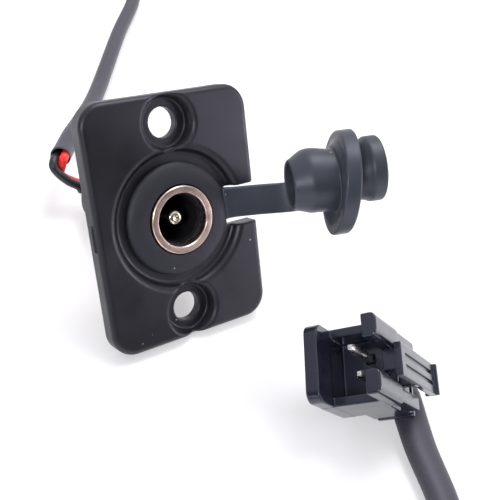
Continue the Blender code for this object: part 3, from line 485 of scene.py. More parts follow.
def group(name, inputs, outputs, build):
    """Node group by name, made on first use.

    Its inputs are a vector and then numbers by name. build(tree, inputs) gives what feeds its outputs.
    """
    if name in bpy.data.node_groups:
        return bpy.data.node_groups[name]
    tree = bpy.data.node_groups.new(name, "ShaderNodeTree")
    tree.interface.new_socket(name="Vector", in_out="INPUT", socket_type="NodeSocketVector")
    for label, value in inputs.items():
        socket = tree.interface.new_socket(name=label, in_out="INPUT", socket_type="NodeSocketFloat")
        socket.default_value = value
    for label in outputs:
        tree.interface.new_socket(name=label, in_out="OUTPUT", socket_type="NodeSocketFloat")
    fed = build(tree, add(tree, "NodeGroupInput").outputs)
    add(tree, "NodeGroupOutput", dict(zip(outputs, fed)))
    return tree


def moulded_grain(tree, inputs):
    """Fine satin grain of moulded plastic and rubber, with a broad unevenness."""
    fine = noise(tree, inputs["Vector"], inputs["Grains per metre"], 3.0, 0.6)
    broad = noise(tree, inputs["Vector"], 260.0, 2.0)
    swell = math_node(tree, "MULTIPLY", broad, inputs["Waviness"])
    return math_node(tree, "ADD", fine, swell), broad


def rubbed_edges(tree, inputs):
    """Rubbed edges: how sharply the surface bends outwards, broken up by a noise."""
    bend = add(tree, "ShaderNodeNewGeometry").outputs["Pointiness"]
    patch = noise(tree, inputs["Vector"], 900.0, 4.0)
    return (math_node(tree, "MULTIPLY", ramp(tree, bend, 0.53, 0.62), ramp(tree, patch, 0.35, 0.65, 0.35)),)


def dust_specks(tree, inputs):
    """Sparse pale specks of dust."""
    spots = add(tree, "ShaderNodeTexVoronoi", {"Vector": inputs["Vector"], "Scale": 700.0, "Randomness": 1.0})
    near = ramp(tree, spots.outputs["Distance"], 0.09, 0.03)
    pick = add(tree, "ShaderNodeSeparateColor", {"Color": spots.outputs["Color"]}).outputs[0]
    return (math_node(tree, "MULTIPLY", near, math_node(tree, "LESS_THAN", pick, inputs["Share"])),)


def pebbled_grain(tree, inputs):
    """Pebbled grain of the boot's mould: rounded cells of uneven size."""
    stir = add(tree, "ShaderNodeTexNoise", {"Vector": inputs["Vector"], "Scale": 1800.0, "Detail": 2.0})
    offset = add(tree, "ShaderNodeVectorMath", {0: stir.outputs["Color"], 3: 0.00035}, operation="SCALE")
    moved = add(tree, "ShaderNodeVectorMath", {0: inputs["Vector"], 1: offset.outputs[0]}, operation="ADD")
    spread = {"Vector": moved.outputs[0], "Scale": inputs["Pebbles per metre"]}
    cells = add(tree, "ShaderNodeTexVoronoi", spread, feature="SMOOTH_F1")
    return (math_node(tree, "SUBTRACT", 1.0, cells.outputs["Distance"]),)


def jack_place(tree, inputs):
    """Distance from the jack's axis plus distance along it, whose even steps are the turning lines."""
    local = add(tree, "ShaderNodeMapping", {"Vector": inputs["Vector"], "Location": INLET.translation * MM,
                                            "Rotation": (-LEAN, 0.0, 0.0)}, vector_type="TEXTURE")
    x, y, z = add(tree, "ShaderNodeSeparateXYZ", {"Vector": local.outputs[0]}).outputs
    flat = add(tree, "ShaderNodeCombineXYZ", {"X": x, "Z": z})
    radius = add(tree, "ShaderNodeVectorMath", {0: flat.outputs[0]}, operation="LENGTH").outputs["Value"]
    return (math_node(tree, "ADD", radius, y),)


def grain_of(tree, place, grains, waviness):
    """Height and cloudiness of the moulded grain."""
    numbers = {"Grains per metre": 5000.0, "Waviness": 0.3}
    made = group("moulded_grain", numbers, ("Height", "Cloud"), moulded_grain)
    return use(tree, made, {"Vector": place, "Grains per metre": grains, "Waviness": waviness})


def dusty_colour(tree, place, share, colour, dust=DUST_COLOUR):
    """Colour with specks of dust on a share of its cells."""
    made = group("dust_specks", {"Share": 0.12}, ("Mask",), dust_specks)
    return blend_colour(tree, use(tree, made, {"Vector": place, "Share": share})["Mask"], colour, dust)


def start_material(name, colour, roughness, metallic=0.0):
    """Material with its shader, and the object's coordinates for its patterns."""
    material = bpy.data.materials.new(name)
    material.use_nodes = True
    tree = material.node_tree
    shader = tree.nodes["Principled BSDF"]
    shader.inputs["Base Color"].default_value = tuple(colour)
    shader.inputs["Roughness"].default_value = roughness
    shader.inputs["Metallic"].default_value = metallic
    if metallic == 0.0:
        shader.inputs["Specular Tint"].default_value = SPECULAR_TINT
    place = add(tree, "ShaderNodeTexCoord").outputs["Object"]
    return material, tree, shader, place


def finish(tree, shader, colour, roughness, height, strength, depth):
    """Feed the shader's colour and roughness, and its normal by a bump with a depth in metres."""
    bump = add(tree, "ShaderNodeBump", {"Height": height, "Strength": strength, "Distance": depth})
    for name, value in (("Base Color", colour), ("Roughness", roughness), ("Normal", bump.outputs[0])):
        tree.links.new(value, shader.inputs[name])


def moulded_material(name, colour, roughness, grains, depth, worn=2.5, dust=0.1, waviness=0.3):
    """Moulded plastic or rubber: cloudy colour, satin grain, paler rubbed edges and a little dust."""
    material, tree, shader, place = start_material(name, colour, roughness)
    grain = grain_of(tree, place, grains, waviness)
    edges = use(tree, group("rubbed_edges", {}, ("Mask",), rubbed_edges), {"Vector": place})
    cloudy = blend_colour(tree, grain["Cloud"], scaled(colour, 0.85), scaled(colour, 1.15))
    rubbed = blend_colour(tree, edges["Mask"], cloudy, scaled(colour, worn))
    gloss = ramp(tree, grain["Cloud"], 0.3, 0.7, roughness - 0.06, roughness + 0.06)
    finish(tree, shader, dusty_colour(tree, place, dust, rubbed), gloss, grain["Height"], 0.6, depth)
    return material


def boot_material(colour, roughness):
    """Boot rubber: pebbled, with a finer grain between."""
    material, tree, shader, place = start_material("boot_rubber_grained", colour, roughness)
    made = group("pebbled_grain", {"Pebbles per metre": 2600.0}, ("Height",), pebbled_grain)
    pebbles = use(tree, made, {"Vector": place, "Pebbles per metre": 3000.0})
    grain = grain_of(tree, place, 7000.0, 0.5)
    cloudy = blend_colour(tree, grain["Cloud"], scaled(colour, 0.85), scaled(colour, 1.2))
    both = math_node(tree, "ADD", pebbles["Height"], math_node(tree, "MULTIPLY", grain["Height"], 0.35))
    dusty = dusty_colour(tree, place, 0.05, cloudy, (0.4, 0.4, 0.42, 1.0))
    gloss = ramp(tree, grain["Cloud"], 0.3, 0.7, roughness - 0.05, roughness + 0.08)
    finish(tree, shader, dusty, gloss, both, 0.7, 0.00004)
    return material


def turned_metal(name, colour, roughness, tarnish, pitch=0.00006):
    """Turned and plated metal: fine rings about the jack's axis and a faint warm tarnish."""
    material, tree, shader, place = start_material(name, colour, roughness, 1.0)
    lines = use(tree, group("jack_place", {}, ("Along",), jack_place), {"Vector": place})["Along"]
    point = add(tree, "ShaderNodeCombineXYZ", {"X": lines})
    rings = noise(tree, point.outputs[0], 1.0 / pitch, 2.0)
    patches = noise(tree, place, 550.0, 4.0, 0.6)
    tinted = blend_colour(tree, ramp(tree, patches, 0.42, 0.68, 0.0, 0.8), tuple(colour), tarnish)
    gloss = ramp(tree, rings, 0.3, 0.7, roughness - 0.06, roughness + 0.1)
    finish(tree, shader, tinted, gloss, rings, 0.25, 0.000008)
    return material


def tin_material():
    """Tin of the contacts and their solder, made on first use: rolling lines and dull patches."""
    name = "tin_bright"
    if name in bpy.data.materials:
        return bpy.data.materials[name]
    roughness = 0.28
    material, tree, shader, place = start_material(name, TIN_COLOUR, roughness, 1.0)
    stretch = add(tree, "ShaderNodeMapping", {"Vector": place, "Scale": (900.0, 120.0, 900.0)})
    lines = noise(tree, stretch.outputs[0], 4.0, 3.0)
    patches = noise(tree, place, 1100.0, 3.0)
    tinted = blend_colour(tree, patches, scaled(TIN_COLOUR, 0.72), scaled(TIN_COLOUR, 1.05))
    gloss = ramp(tree, patches, 0.3, 0.7, roughness - 0.08, roughness + 0.12)
    finish(tree, shader, tinted, gloss, lines, 0.3, 0.00002)
    return material


def insulation_material(name, colour, roughness, streak_from):
    """Extruded insulation: faint streaks that run along the wire or sleeve, a grain and a little dust."""
    material, tree, shader, place = start_material(name, colour, roughness)
    run = add(tree, "ShaderNodeUVMap", uv_map="along").outputs[0]
    stretch = add(tree, "ShaderNodeMapping", {"Vector": run, "Scale": (14.0, 60.0, 1.0)})
    streaks = noise(tree, stretch.outputs[0], 1.0, 4.0, 0.65)
    grain = grain_of(tree, place, 6000.0, 0.4)
    share = ramp(tree, streaks, streak_from, 0.75)
    streaked = blend_colour(tree, share, scaled(colour, 0.92), scaled(colour, 1.45))
    dusty = dusty_colour(tree, place, 0.06, streaked, (0.45, 0.45, 0.47, 1.0))
    gloss = ramp(tree, streaks, 0.35, 0.7, roughness - 0.05, roughness + 0.1)
    finish(tree, shader, dusty, gloss, math_node(tree, "ADD", grain["Height"], streaks), 0.4, 0.000012)
    return material


def colour_property(label, words, value):
    """Colour setting."""
    return FloatVectorProperty(name=label, description=words, default=value, size=4, min=0.0, max=1.0,
                               subtype="COLOR")


def length_property(label, words, value):
    """Length setting, in metres."""
    return FloatProperty(name=label, description=words, default=value, min=0.0, soft_max=0.05, unit="LENGTH",
                         subtype="DISTANCE", precision=5)


# Settings

class FlangeSettings(bpy.types.PropertyGroup):
    """Moulded flange."""

    front_fillet: length_property("Front fillet", "Radius round the front face's outer edge", 0.0007)
    rim_round: length_property("Rim round", "Radius on the rims of the recess and the screw seats", 0.0006)
    cell: length_property("Mesh cell", "Spacing of the flange's mesh", 0.00015)
    colour: colour_property("Plastic", "Colour of the moulded flange", (0.008, 0.008, 0.010, 1.0))


class RubberSettings(bpy.types.PropertyGroup):
    """Boot, strap and dust cap."""

    boot_colour: colour_property("Boot", "Colour of the boot's rubber", (0.014, 0.014, 0.018, 1.0))
    cap_colour: colour_property("Cap", "Colour of the cap and strap", (0.030, 0.035, 0.046, 1.0))
    flange_lean: FloatProperty(name="Flange lean", description="Slope of the cap's flange", default=-0.15,
                               min=-0.5, max=0.5)
    flange_sag: length_property("Flange sag", "How far the cap's flange hangs below its axis", 0.0004)


class JackSettings(bpy.types.PropertyGroup):
    """Jack, its ring, nut and contacts."""

    thread_pitch: length_property("Thread pitch", "Pitch of the thread on the barrel", 0.00075)
    thread_depth: length_property("Thread depth", "Depth of the thread on the barrel", 0.0002)
    ring_colour: colour_property("Ring", "Colour of the plated ring and barrel", (0.74, 0.58, 0.51, 1.0))
    pin_colour: colour_property("Pin", "Colour of the centre pin", (0.86, 0.80, 0.68, 1.0))
    insulator_colour: colour_property("Insulator", "Colour of the insulator", (0.010, 0.010, 0.012, 1.0))


class LeadSettings(bpy.types.PropertyGroup):
    """Sleeve and wires."""

    sleeve_wall: length_property("Sleeve wall", "Thickness of the sleeve at its open end", 0.00028)
    sleeve_colour: colour_property("Sleeve", "Colour of the sleeve", (0.050, 0.046, 0.058, 1.0))
    red_colour: colour_property("Red wire", "Colour of the red wire", (0.80, 0.03, 0.02, 1.0))
    black_colour: colour_property("Black wire", "Colour of the black wire", (0.02, 0.02, 0.022, 1.0))
    around: IntProperty(name="Points round", description="Points round the sleeve", default=28, min=12,
                        max=64)


class PlugSettings(bpy.types.PropertyGroup):
    """Latching plug."""

    edge_round: length_property("Edge round", "Radius on the plug's edges", 0.00016)
    cell: length_property("Mesh cell", "Spacing of the plug's mesh", 0.00013)
    colour: colour_property("Plastic", "Colour of the plug", (0.012, 0.014, 0.026, 1.0))


class StageSettings(bpy.types.PropertyGroup):
    """Floor, light and camera."""

    floor_size: length_property("Floor size", "Side of the square floor", 1.6)
    focal_length: FloatProperty(name="Focal length", description="Camera's focal length in millimetres",
                                default=52.37, min=10.0, max=200.0)
    world_strength: FloatProperty(name="Room light", description="Strength of the light from all round",
                                  default=1.0, min=0.0, max=5.0)
    lamp_power: FloatProperty(name="Lamps", description="Power that the lamps have shares of", default=2.0,
                              min=0.0, unit="POWER")


# Pieces

class PORT_OT_stage(bpy.types.Operator):
    """White floor, soft light and the camera at the photograph's angle"""

    bl_idname = "port.stage"
    bl_label = "Stage"

    def execute(self, context):
        settings = context.scene.port_stage
        make_camera(settings)
        make_floor(settings)
        make_lights(settings)
        return {"FINISHED"}


def make_camera(settings):
    """Camera where the photograph's was, found from the flange's outline, holes and ring."""
    camera = bpy.data.cameras.new("photo_camera")
    camera.sensor_fit = "HORIZONTAL"
    camera.sensor_width = 36.0
    camera.lens = settings.focal_length
    camera.clip_start = 0.002
    camera.clip_end = 10.0
    item = bpy.data.objects.new("photo_camera", camera)
    bpy.context.collection.objects.link(item)
    matrix = Matrix(CAMERA_AXES).transposed().to_4x4()
    matrix.translation = CAMERA_PLACE
    item.matrix_world = matrix
    bpy.context.scene.camera = item


def make_floor(settings):
    """White table top that shows its shadows, and is white where the light is full."""
    half = settings.floor_size / 2 / MM
    count = 9
    u = np.linspace(-half, half, count)
    grid = np.stack([*np.meshgrid(u, u, indexing="ij"), np.full((count, count), -0.03)], axis=-1)
    material = bpy.data.materials.new("white_table")
    material.use_nodes = True
    tree = material.node_tree
    tree.nodes.clear()
    path = add(tree, "ShaderNodeLightPath").outputs
    paint = blend_colour(tree, path["Is Camera Ray"], FLOOR_PAINT, FLOOR_PAINT_SEEN)
    plain = add(tree, "ShaderNodeBsdfDiffuse", {"Color": paint})
    seen = math_node(tree, "MAXIMUM", path["Is Camera Ray"], path["Is Glossy Ray"])
    strength = math_node(tree, "MULTIPLY", seen, FLOOR_GLOW)
    glow = add(tree, "ShaderNodeEmission", {"Color": WHITE, "Strength": strength})
    both = add(tree, "ShaderNodeAddShader", {0: plain.outputs[0], 1: glow.outputs[0]})
    add(tree, "ShaderNodeOutputMaterial", {"Surface": both.outputs[0]})
    floor = skin("table_top", grid, grid_faces(count, count), ROW, material)
    if floor.data.polygons[0].normal.z < 0:
        floor.data.flip_normals()


def area_lamp(name, place, side, power, colour):
    """Square soft lamp that faces the inlet."""
    lamp = bpy.data.lights.new(name, "AREA")
    lamp.shape = "SQUARE"
    lamp.size = side
    lamp.energy = power
    lamp.color = colour
    item = bpy.data.objects.new(name, lamp)
    bpy.context.collection.objects.link(item)
    item.location = place
    item.rotation_euler = (LIT_MIDDLE - Vector(place)).to_track_quat("-Z", "Y").to_euler()


def make_lights(settings):
    """Bright room, darker towards the front left, with lamps to the left, overhead and to the right."""
    world = bpy.data.worlds.new("bright_room")
    bpy.context.scene.world = world
    world.use_nodes = True
    tree = world.node_tree
    tree.nodes.clear()
    direction = add(tree, "ShaderNodeTexCoord").outputs["Generated"]
    towards = add(tree, "ShaderNodeVectorMath", {0: direction, 1: ROOM_BRIGHT_SIDE}, operation="DOT_PRODUCT")
    level = add(tree, "ShaderNodeMapRange", {"Value": towards.outputs["Value"], "From Min": -0.3,
                                             "From Max": 0.75, "To Min": 0.06, "To Max": 1.05},
                interpolation_type="SMOOTHSTEP")
    room = math_node(tree, "MULTIPLY", level.outputs[0], settings.world_strength)
    seen = math_node(tree, "MAXIMUM", room, add(tree, "ShaderNodeLightPath").outputs["Is Camera Ray"])
    glow = add(tree, "ShaderNodeBackground", {"Color": ROOM_COLOUR, "Strength": seen})
    add(tree, "ShaderNodeOutputWorld", {"Surface": glow.outputs[0]})
    for name, place, side, share, colour in LAMPS:
        area_lamp(name, place, side, settings.lamp_power * share, colour)


class PORT_OT_flange(bpy.types.Operator):
    """Flange with filleted edges, sunk recess, screw seats and strap notch"""

    bl_idname = "port.flange"
    bl_label = "Flange"

    def execute(self, context):
        settings = context.scene.port_flange
        fillet, rim = settings.front_fillet / MM, settings.rim_round / MM
        material = moulded_material("black_plastic_satin", settings.colour, 0.44, 5200.0, 0.000010)

        def field(p):
            return flange_field(p, fillet, rim)

        low = (-PLATE_W / 2 - 0.5, -0.4, -PLATE_H / 2 - 0.4)
        high = (PLATE_W / 2 + 0.3, PLATE_T + 1.0, PLATE_H / 2 + 0.4)
        plate = moulded("flange", field, low, high, settings.cell / MM, INLET, material)
        settle(plate, "inlet", "black_plastic", "flange_plate")
        return {"FINISHED"}


def flange_field(p, fillet, rim):
    """Distance to the flange: a rounded slab with bosses, less its seats, holes, recess and notch."""
    x, y, z = np.moveaxis(p, -1, 0)
    past_x = np.abs(x) - (PLATE_W / 2 - PLATE_CORNER)
    past_z = np.abs(z) - (PLATE_H / 2 - PLATE_CORNER)
    body = meet(meet(rounded(past_x, past_z, PLATE_CORNER), -y, fillet), y - PLATE_T, 0.15)
    side = -PLATE_W / 2
    gate = block(p, (side - GATE_PROUD, GATE_LOW, -GATE_W / 2), (side + 0.6, GATE_HIGH, GATE_W / 2), 0.12)
    body = join(body, gate, 0.08)
    screw = np.hypot(x, np.abs(z) - SCREW_AT)
    boss = meet(meet(screw - BOSS_R, y - BOSS_TOP, 0.15), BOSS_START - y, 0.01)
    body = join(body, boss, 0.15)
    seat_side = screw - (SEAT_R + SEAT_DRAFT / 2 - SEAT_DRAFT * y / SEAT_DEPTH)
    body = cut(body, meet(seat_side, y - SEAT_DEPTH, 0.22), rim)
    body = cut(body, screw - SCREW_R, 0.12)
    middle = np.hypot(x, z)
    recess_side = middle - (RECESS_R - RECESS_DRAFT * y / RECESS_DEPTH)
    body = cut(body, meet(recess_side, y - RECESS_DEPTH, 0.35), rim)
    body = cut(body, middle - PLATE_HOLE_R, 0.1)
    notch = meet(NOTCH_START - x, np.abs(z) - NOTCH_W / 2, 0.3)
    return cut(body, notch, 0.3)


class PORT_OT_boot(bpy.types.Operator):
    """Rubber boot round the ring"""

    bl_idname = "port.boot"
    bl_label = "Boot"

    def execute(self, context):
        settings = context.scene.port_rubber
        boot = turned("boot", boot_profile(), INLET, boot_material(settings.boot_colour, 0.58), 160)
        settle(boot, "inlet", "boot_rubber", "rubber_boot")
        return {"FINISHED"}


def boot_profile():
    """Radius and height of the boot: its dome, the face round the ring, the bore, the lip and the stem."""
    angle = np.linspace(0, math.pi / 2, 25)
    dome_r = BOOT_FACE_R + (BOOT_R - BOOT_FACE_R) * np.cos(angle)
    dome_y = BOOT_SEAT - BOOT_DOME_H * np.sin(angle)
    corners = [(BOOT_FACE_R, BOOT_FACE), (BOOT_RING_R, BOOT_FACE), (BOOT_RING_R, BOOT_SEAT),
               (BOOT_BORE_R, BOOT_SEAT), (BOOT_BORE_R, BOOT_BACK), (BOOT_LIP_R - BOOT_LIP_CHAMFER, BOOT_BACK),
               (BOOT_LIP_R, BOOT_BACK - BOOT_LIP_CHAMFER), (BOOT_LIP_R, BOOT_LIP_FRONT),
               (BOOT_STEM_R, BOOT_LIP_FRONT), (BOOT_STEM_R, BOOT_SEAT), (BOOT_R, BOOT_SEAT)]
    return np.concatenate([np.stack([dome_r, dome_y], axis=1), softened(corners, 0.12)[1:-1]])


class PORT_OT_cap(bpy.types.Operator):
    """Dust cap with its nose, flange and pull knob, and the strap that holds it"""

    bl_idname = "port.cap"
    bl_label = "Dust cap and strap"

    def execute(self, context):
        settings = context.scene.port_rubber
        material = moulded_material("cap_rubber_satin", settings.cap_colour, 0.44, 6000.0, 0.000010, worn=1.5,
                                    dust=0.08, waviness=0.8)
        lean, sag = settings.flange_lean, settings.flange_sag / MM
        cap = turned("cap", cap_profile(), CAP, material, 144, lambda p: askew(p, lean, sag))
        settle(cap, "cap", "cap_rubber", "dust_cap")
        line, across = strap_route()
        strap = make_strap(line, across, material)
        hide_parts("cap_strap")
        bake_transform(strap)
        return {"FINISHED"}


def cap_profile():
    """Radius and height of the cap from the floor of its hollow, over the nose and flange, to the knob."""
    share = np.linspace(0, 1, 6)
    flare_r = CAP_NECK_R + (CAP_KNOB_R - CAP_NECK_R) * share ** 1.6
    flare_y = -CAP_FLANGE_T - CAP_NECK_LENGTH * share
    corners = [(0, HOLLOW_FLOOR, 0), (HOLLOW_R, HOLLOW_FLOOR, 0.3), (HOLLOW_MOUTH_R, NOSE_LENGTH, 0.14),
               (NOSE_END_R, NOSE_LENGTH, 0.2), (NOSE_R, NOSE_STRAIGHT, 0.35), (NOSE_ROOT_R, 0, 0.12),
               (CAP_FLANGE_R, 0, 0.25), (CAP_FLANGE_R, -CAP_FLANGE_T, 0.25),
               *[(r, y, 0.3) for r, y in zip(flare_r, flare_y)],
               (CAP_KNOB_R, -CAP_BACK, 0.25), (CAP_KNOB_R / 2, 0.03 - CAP_END, 0.5), (0, -CAP_END, 0)]
    corners = np.array(corners)
    return softened(corners[:, :2], corners[:, 2], steps=6, spacing=0.25)


def askew(points, lean, sag):
    """Bend the cap as its strap pulls it.

    Outside the nose, the flange's rim moves along the axis in step with height, y + lean z, and hangs down
    by sag. The knob stands 1.6 sag above the axis and a little further out. The nose is fuller on its upper
    side, before its end.
    """
    x, y, z = np.moveaxis(points, -1, 0)
    rim = eased(np.clip((np.hypot(x, z) - 3.2) / 1.6, 0, 1) * np.clip((y + 2.2) / 0.5, 0, 1))
    knob = eased((-1.5 - y) / 1.9)
    nose = eased(np.clip(y / 2.4, 0, 1) * np.clip((5.0 - y) / 1.9, 0, 1))
    swell = nose * (0.1 + 0.25 * np.clip(z / 3, 0, 1))
    return np.stack([x, y + lean * z * rim - 0.35 * knob, z + sag * (1.6 * knob - rim) + swell], axis=-1)


def strap_route():
    """Middle line of the strap in the inlet's frame, and the direction across its width."""
    turn = Matrix.Rotation(CAP_TURN, 3, HINGE_LINE.normalized())
    rim = HINGE_POINT + turn @ (CAP_CLOSED + Vector((CAP_FLANGE_R + 0.3, -CAP_FLANGE_T / 2, 0)) - HINGE_POINT)
    outward = turn @ Vector((1, 0, 0))
    knots = [(6.5, 0.62, 0.5), (7.36, 0.5, 0.5), (10.6, -1.25, 0.42), (14.0, -3.3, 0.3), (15.4, -6.2, 0.85),
             (14.7, -9.4, 2.0), rim + outward * 1.7, rim, rim - outward * 0.9]
    line = smooth_path(knots, 0.25)
    share = np.clip((np.linspace(0, 1, len(line))[:, None] - 0.05) / 0.85, 0, 1)
    across = np.array([0.0, 0.0, 1.0]) * (1 - share) + np.array(turn @ Vector((0, 0, 1))) * share
    return line, across


def make_strap(line, across, material):
    """Rounded flat profile carried along the strap's line, wider where it leaves the boot and the cap."""
    run = np.linspace(0, 1, len(line))
    flare = 0.1 * np.exp(-((run / 0.055) ** 2)) + 0.25 * np.exp(-(((1 - run) / 0.06) ** 2))
    flat = (STRAP_T / 2 - STRAP_ROUND, STRAP_W / 2 - STRAP_ROUND)
    angle = (np.arange(4)[:, None] * 90 + np.linspace(0, 90, 7)[None, :]) * math.pi / 180
    signs = np.array([(1, 1), (-1, 1), (-1, -1), (1, -1)])[:, None, :]
    outline = signs * flat + STRAP_ROUND * np.stack([np.cos(angle), np.sin(angle)], -1)
    outline = outline.reshape(-1, 2)
    ahead = unit(np.gradient(line, axis=0))
    sides = unit(np.cross(ahead, across))
    width = unit(np.cross(sides, ahead))
    width = np.where((width * across).sum(-1, keepdims=True) < 0, -width, width)
    u = outline[None, :, 0, None]
    v = outline[None, :, 1, None] * (1 + flare / (STRAP_W / 2))[:, None, None]
    points = line[:, None, :] + sides[:, None, :] * u + width[:, None, :] * v
    ends = [np.broadcast_to(line[k], (1, len(outline), 3)) for k in (0, -1)]
    points = np.concatenate([ends[0], points, ends[1]])
    return skin("strap", points, grid_faces(len(points), len(outline), False, True), INLET, material)


class PORT_OT_jack(bpy.types.Operator):
    """Plated ring and threaded barrel, insulator and centre pin"""

    bl_idname = "port.jack"
    bl_label = "Jack"

    def execute(self, context):
        settings = context.scene.port_jack
        pitch, depth = settings.thread_pitch / MM, settings.thread_depth / MM
        plated = turned_metal("nickel_turned", settings.ring_colour, 0.28, NICKEL_TARNISH)
        shell = turned("ring_and_barrel", shell_profile(), INLET, plated, 160,
                       lambda p: threaded(p, pitch, depth))
        settle(shell, "inlet", "nickel", "jack_shell")

        black = moulded_material("insulator_matt", settings.insulator_colour, 0.42, 5200.0, 0.000008, 2.0)
        reach = REAR_R + 0.3
        body = moulded("insulator", insulator_field, (-reach, NECK_FRONT - 0.25, -reach),
                       (reach, JACK_REAR + 0.25, reach), 0.14, INLET, black)
        settle(body, "inlet", "insulator", "jack_body")

        brass = turned_metal("pin_plated", settings.pin_colour, 0.20, BRASS_TARNISH, 0.00004)
        pin = turned("pin", pin_profile(), INLET, brass, 64)
        settle(pin, "inlet", "pale_brass", "centre_pin")
        return {"FINISHED"}


def shell_profile():
    """Radius and height of the ring and barrel, closed on itself, with close rows where the thread is."""
    step_r, step_y = BORE_STEP
    chamfer_r, chamfer_y = RING_CHAMFER_IN
    front = softened([BORE_STEP, (RING_BORE_R, step_y - 0.3), (RING_BORE_R, RING_FRONT + chamfer_y),
                      (RING_BORE_R + chamfer_r, RING_FRONT), (RING_R - RING_CHAMFER_OUT, RING_FRONT),
                      (RING_R, RING_FRONT + RING_CHAMFER_OUT), (RING_R, RING_BACK), (BARREL_R, RING_BACK),
                      (BARREL_R, THREAD_START)], 0.05, spacing=0.2)
    rows = np.linspace(THREAD_START + 0.05, THREAD_END, THREAD_ROWS)
    thread = np.stack([np.full(THREAD_ROWS, BARREL_R), rows], axis=1)
    rear = [(BARREL_R, BARREL_END - 0.08), (BARREL_R - 0.07, BARREL_END), (BARREL_BORE_R, BARREL_END)]
    back = softened([*rear, (BARREL_BORE_R, step_y + 0.02), BORE_STEP], 0.03, spacing=1.0)
    return np.concatenate([front, thread, back])[:-1]


def threaded(points, pitch, depth):
    """Cut a thread: r less depth times a wave of y / pitch - turn / (2 pi), faded at both ends."""
    x, y, z = np.moveaxis(points, -1, 0)
    radius = np.hypot(x, z)
    phase = y / pitch - np.arctan2(z, x) / (2 * math.pi)
    wave = np.abs(2 * (phase - np.floor(phase)) - 1)
    fade = np.clip((y - THREAD_START) / 0.5, 0, 1) * np.clip((THREAD_END - y) / 0.4, 0, 1)
    scale = 1 - depth * wave * fade * (radius > BARREL_R - 0.05) / radius
    return np.stack([x * scale, y, z * scale], axis=-1)


def insulator_field(p):
    """Distance to the insulator: neck and rear drum, less the flared socket, the pin's bore and two slots."""
    x, y, z = np.moveaxis(p, -1, 0)
    radius = np.hypot(x, z)
    neck = meet(meet(radius - NECK_R, NECK_FRONT - y, 0.1), y - NECK_END, 0.01)
    drum = meet(meet(radius - REAR_R, DRUM_START - y, DRUM_ROUND), y - JACK_REAR, DRUM_ROUND)
    body = join(neck, drum, 0.01)
    mouth = meet(radius - (SOCKET_R + np.clip((SOCKET_LEAD - y) * 0.3, 0, 0.25)), y - SOCKET_FLOOR, 0.2)
    body = cut(body, mouth, 0.05)
    body = cut(body, meet(radius - PIN_R - 0.1, SOCKET_FLOOR - 0.8 - y, 0.01), 0.05)
    past_rear = JACK_REAR + 8
    spring = block(p, (-3.0, 4.7, -SLOT_W / 2), (-2.1, past_rear, SLOT_W / 2), 0.05)
    other = block(p, (2.1, SOCKET_FLOOR + 0.5, -SLOT_W / 2), (2.95, past_rear, SLOT_W / 2), 0.05)
    return cut(cut(body, spring, 0.08), other, 0.08)


def pin_profile():
    """Radius and height of the centre pin: dimpled round tip, shank, thin stem and riveted head."""
    tip = [(0, 1.52), (0.16, 1.50), (0.3, 1.42), (0.55, 1.40), (0.86, 1.54), (PIN_R, 1.9)]
    stem = [(PIN_R, PIN_STEP), (PIN_STEM_R, PIN_STEP), (PIN_STEM_R, PIN_HEAD)]
    head = [(PIN_HEAD_R, PIN_HEAD), (PIN_HEAD_R - 0.05, PIN_END - 0.13), (0.7, PIN_END - 0.03), (0, PIN_END)]
    return softened([*tip, *stem, *head], 0.15, spacing=0.5)


class PORT_OT_fastening(bpy.types.Operator):
    """Lock washer and nut behind the flange"""

    bl_idname = "port.fastening"
    bl_label = "Washer and nut"

    def execute(self, context):
        colour = context.scene.port_jack.ring_colour
        plated = turned_metal("nickel_pressed", colour, 0.32, NUT_TARNISH, 0.00015)
        reach = WASHER_R + 0.3
        washer = moulded("washer", washer_field, (-reach, WASHER_FRONT - 0.25, -reach),
                         (reach, WASHER_BACK + 0.25, reach), 0.09, INLET, plated)
        settle(washer, "inlet", "nickel", "lock_washer")
        reach = NUT_FLAT + 1.1
        nut = moulded("nut", nut_field, (-reach, NUT_FRONT - 0.3, -reach), (reach, NUT_BACK + 0.3, reach),
                      0.12, INLET, plated)
        settle(nut, "inlet", "nickel", "jack_nut")
        return {"FINISHED"}


def washer_field(p):
    """Distance to the washer: a thin disc whose hole has ten teeth."""
    x, y, z = np.moveaxis(p, -1, 0)
    radius = np.hypot(x, z)
    disc = meet(meet(radius - WASHER_R, WASHER_FRONT - y, 0.08), y - WASHER_BACK, 0.08)
    wave = np.cos(WASHER_TEETH * np.arctan2(z, x) + math.pi / 2)
    hole = radius - (NUT_HOLE_R + WASHER_TOOTH * (1 + np.clip(wave * 4, -1, 1)))
    return cut(disc, hole * 0.7, 0.06)


def nut_field(p):
    """Distance to the nut: a hexagon whose rear corners are turned off, with a chamfered hole."""
    x, y, z = np.moveaxis(p, -1, 0)
    radius = np.hypot(x, z)
    slab = meet(NUT_FRONT - y, y - NUT_BACK, 0.05)
    reach = [np.abs(x * math.cos(turn) + z * math.sin(turn)) for turn in np.radians((30, 90, 150))]
    body = meet(slab, np.maximum.reduce(reach) - NUT_FLAT, 0.08)
    cone = (radius - NUT_FLAT + 0.15) * 0.5 + (y - NUT_BACK) * 0.87
    body = meet(body, cone, 0.06)
    hole = radius - NUT_HOLE_R - np.clip(y - NUT_BACK + 0.3, 0, 0.3) * 0.8
    return cut(body, hole, 0.06)


class PORT_OT_contacts(bpy.types.Operator):
    """Solder tags behind the jack; their solder is built with the lead"""

    bl_idname = "port.contacts"
    bl_label = "Contacts"

    def execute(self, context):
        tin = tin_material()
        pieces = {"sleeve_spring": "side_contact", "switch_tag": "break_contact", "pin_tag": "pin_lug"}
        for node, name in pieces.items():
            settle(refined(node, name, 0.06, tin), "inlet", "tin", node)
        return {"FINISHED"}


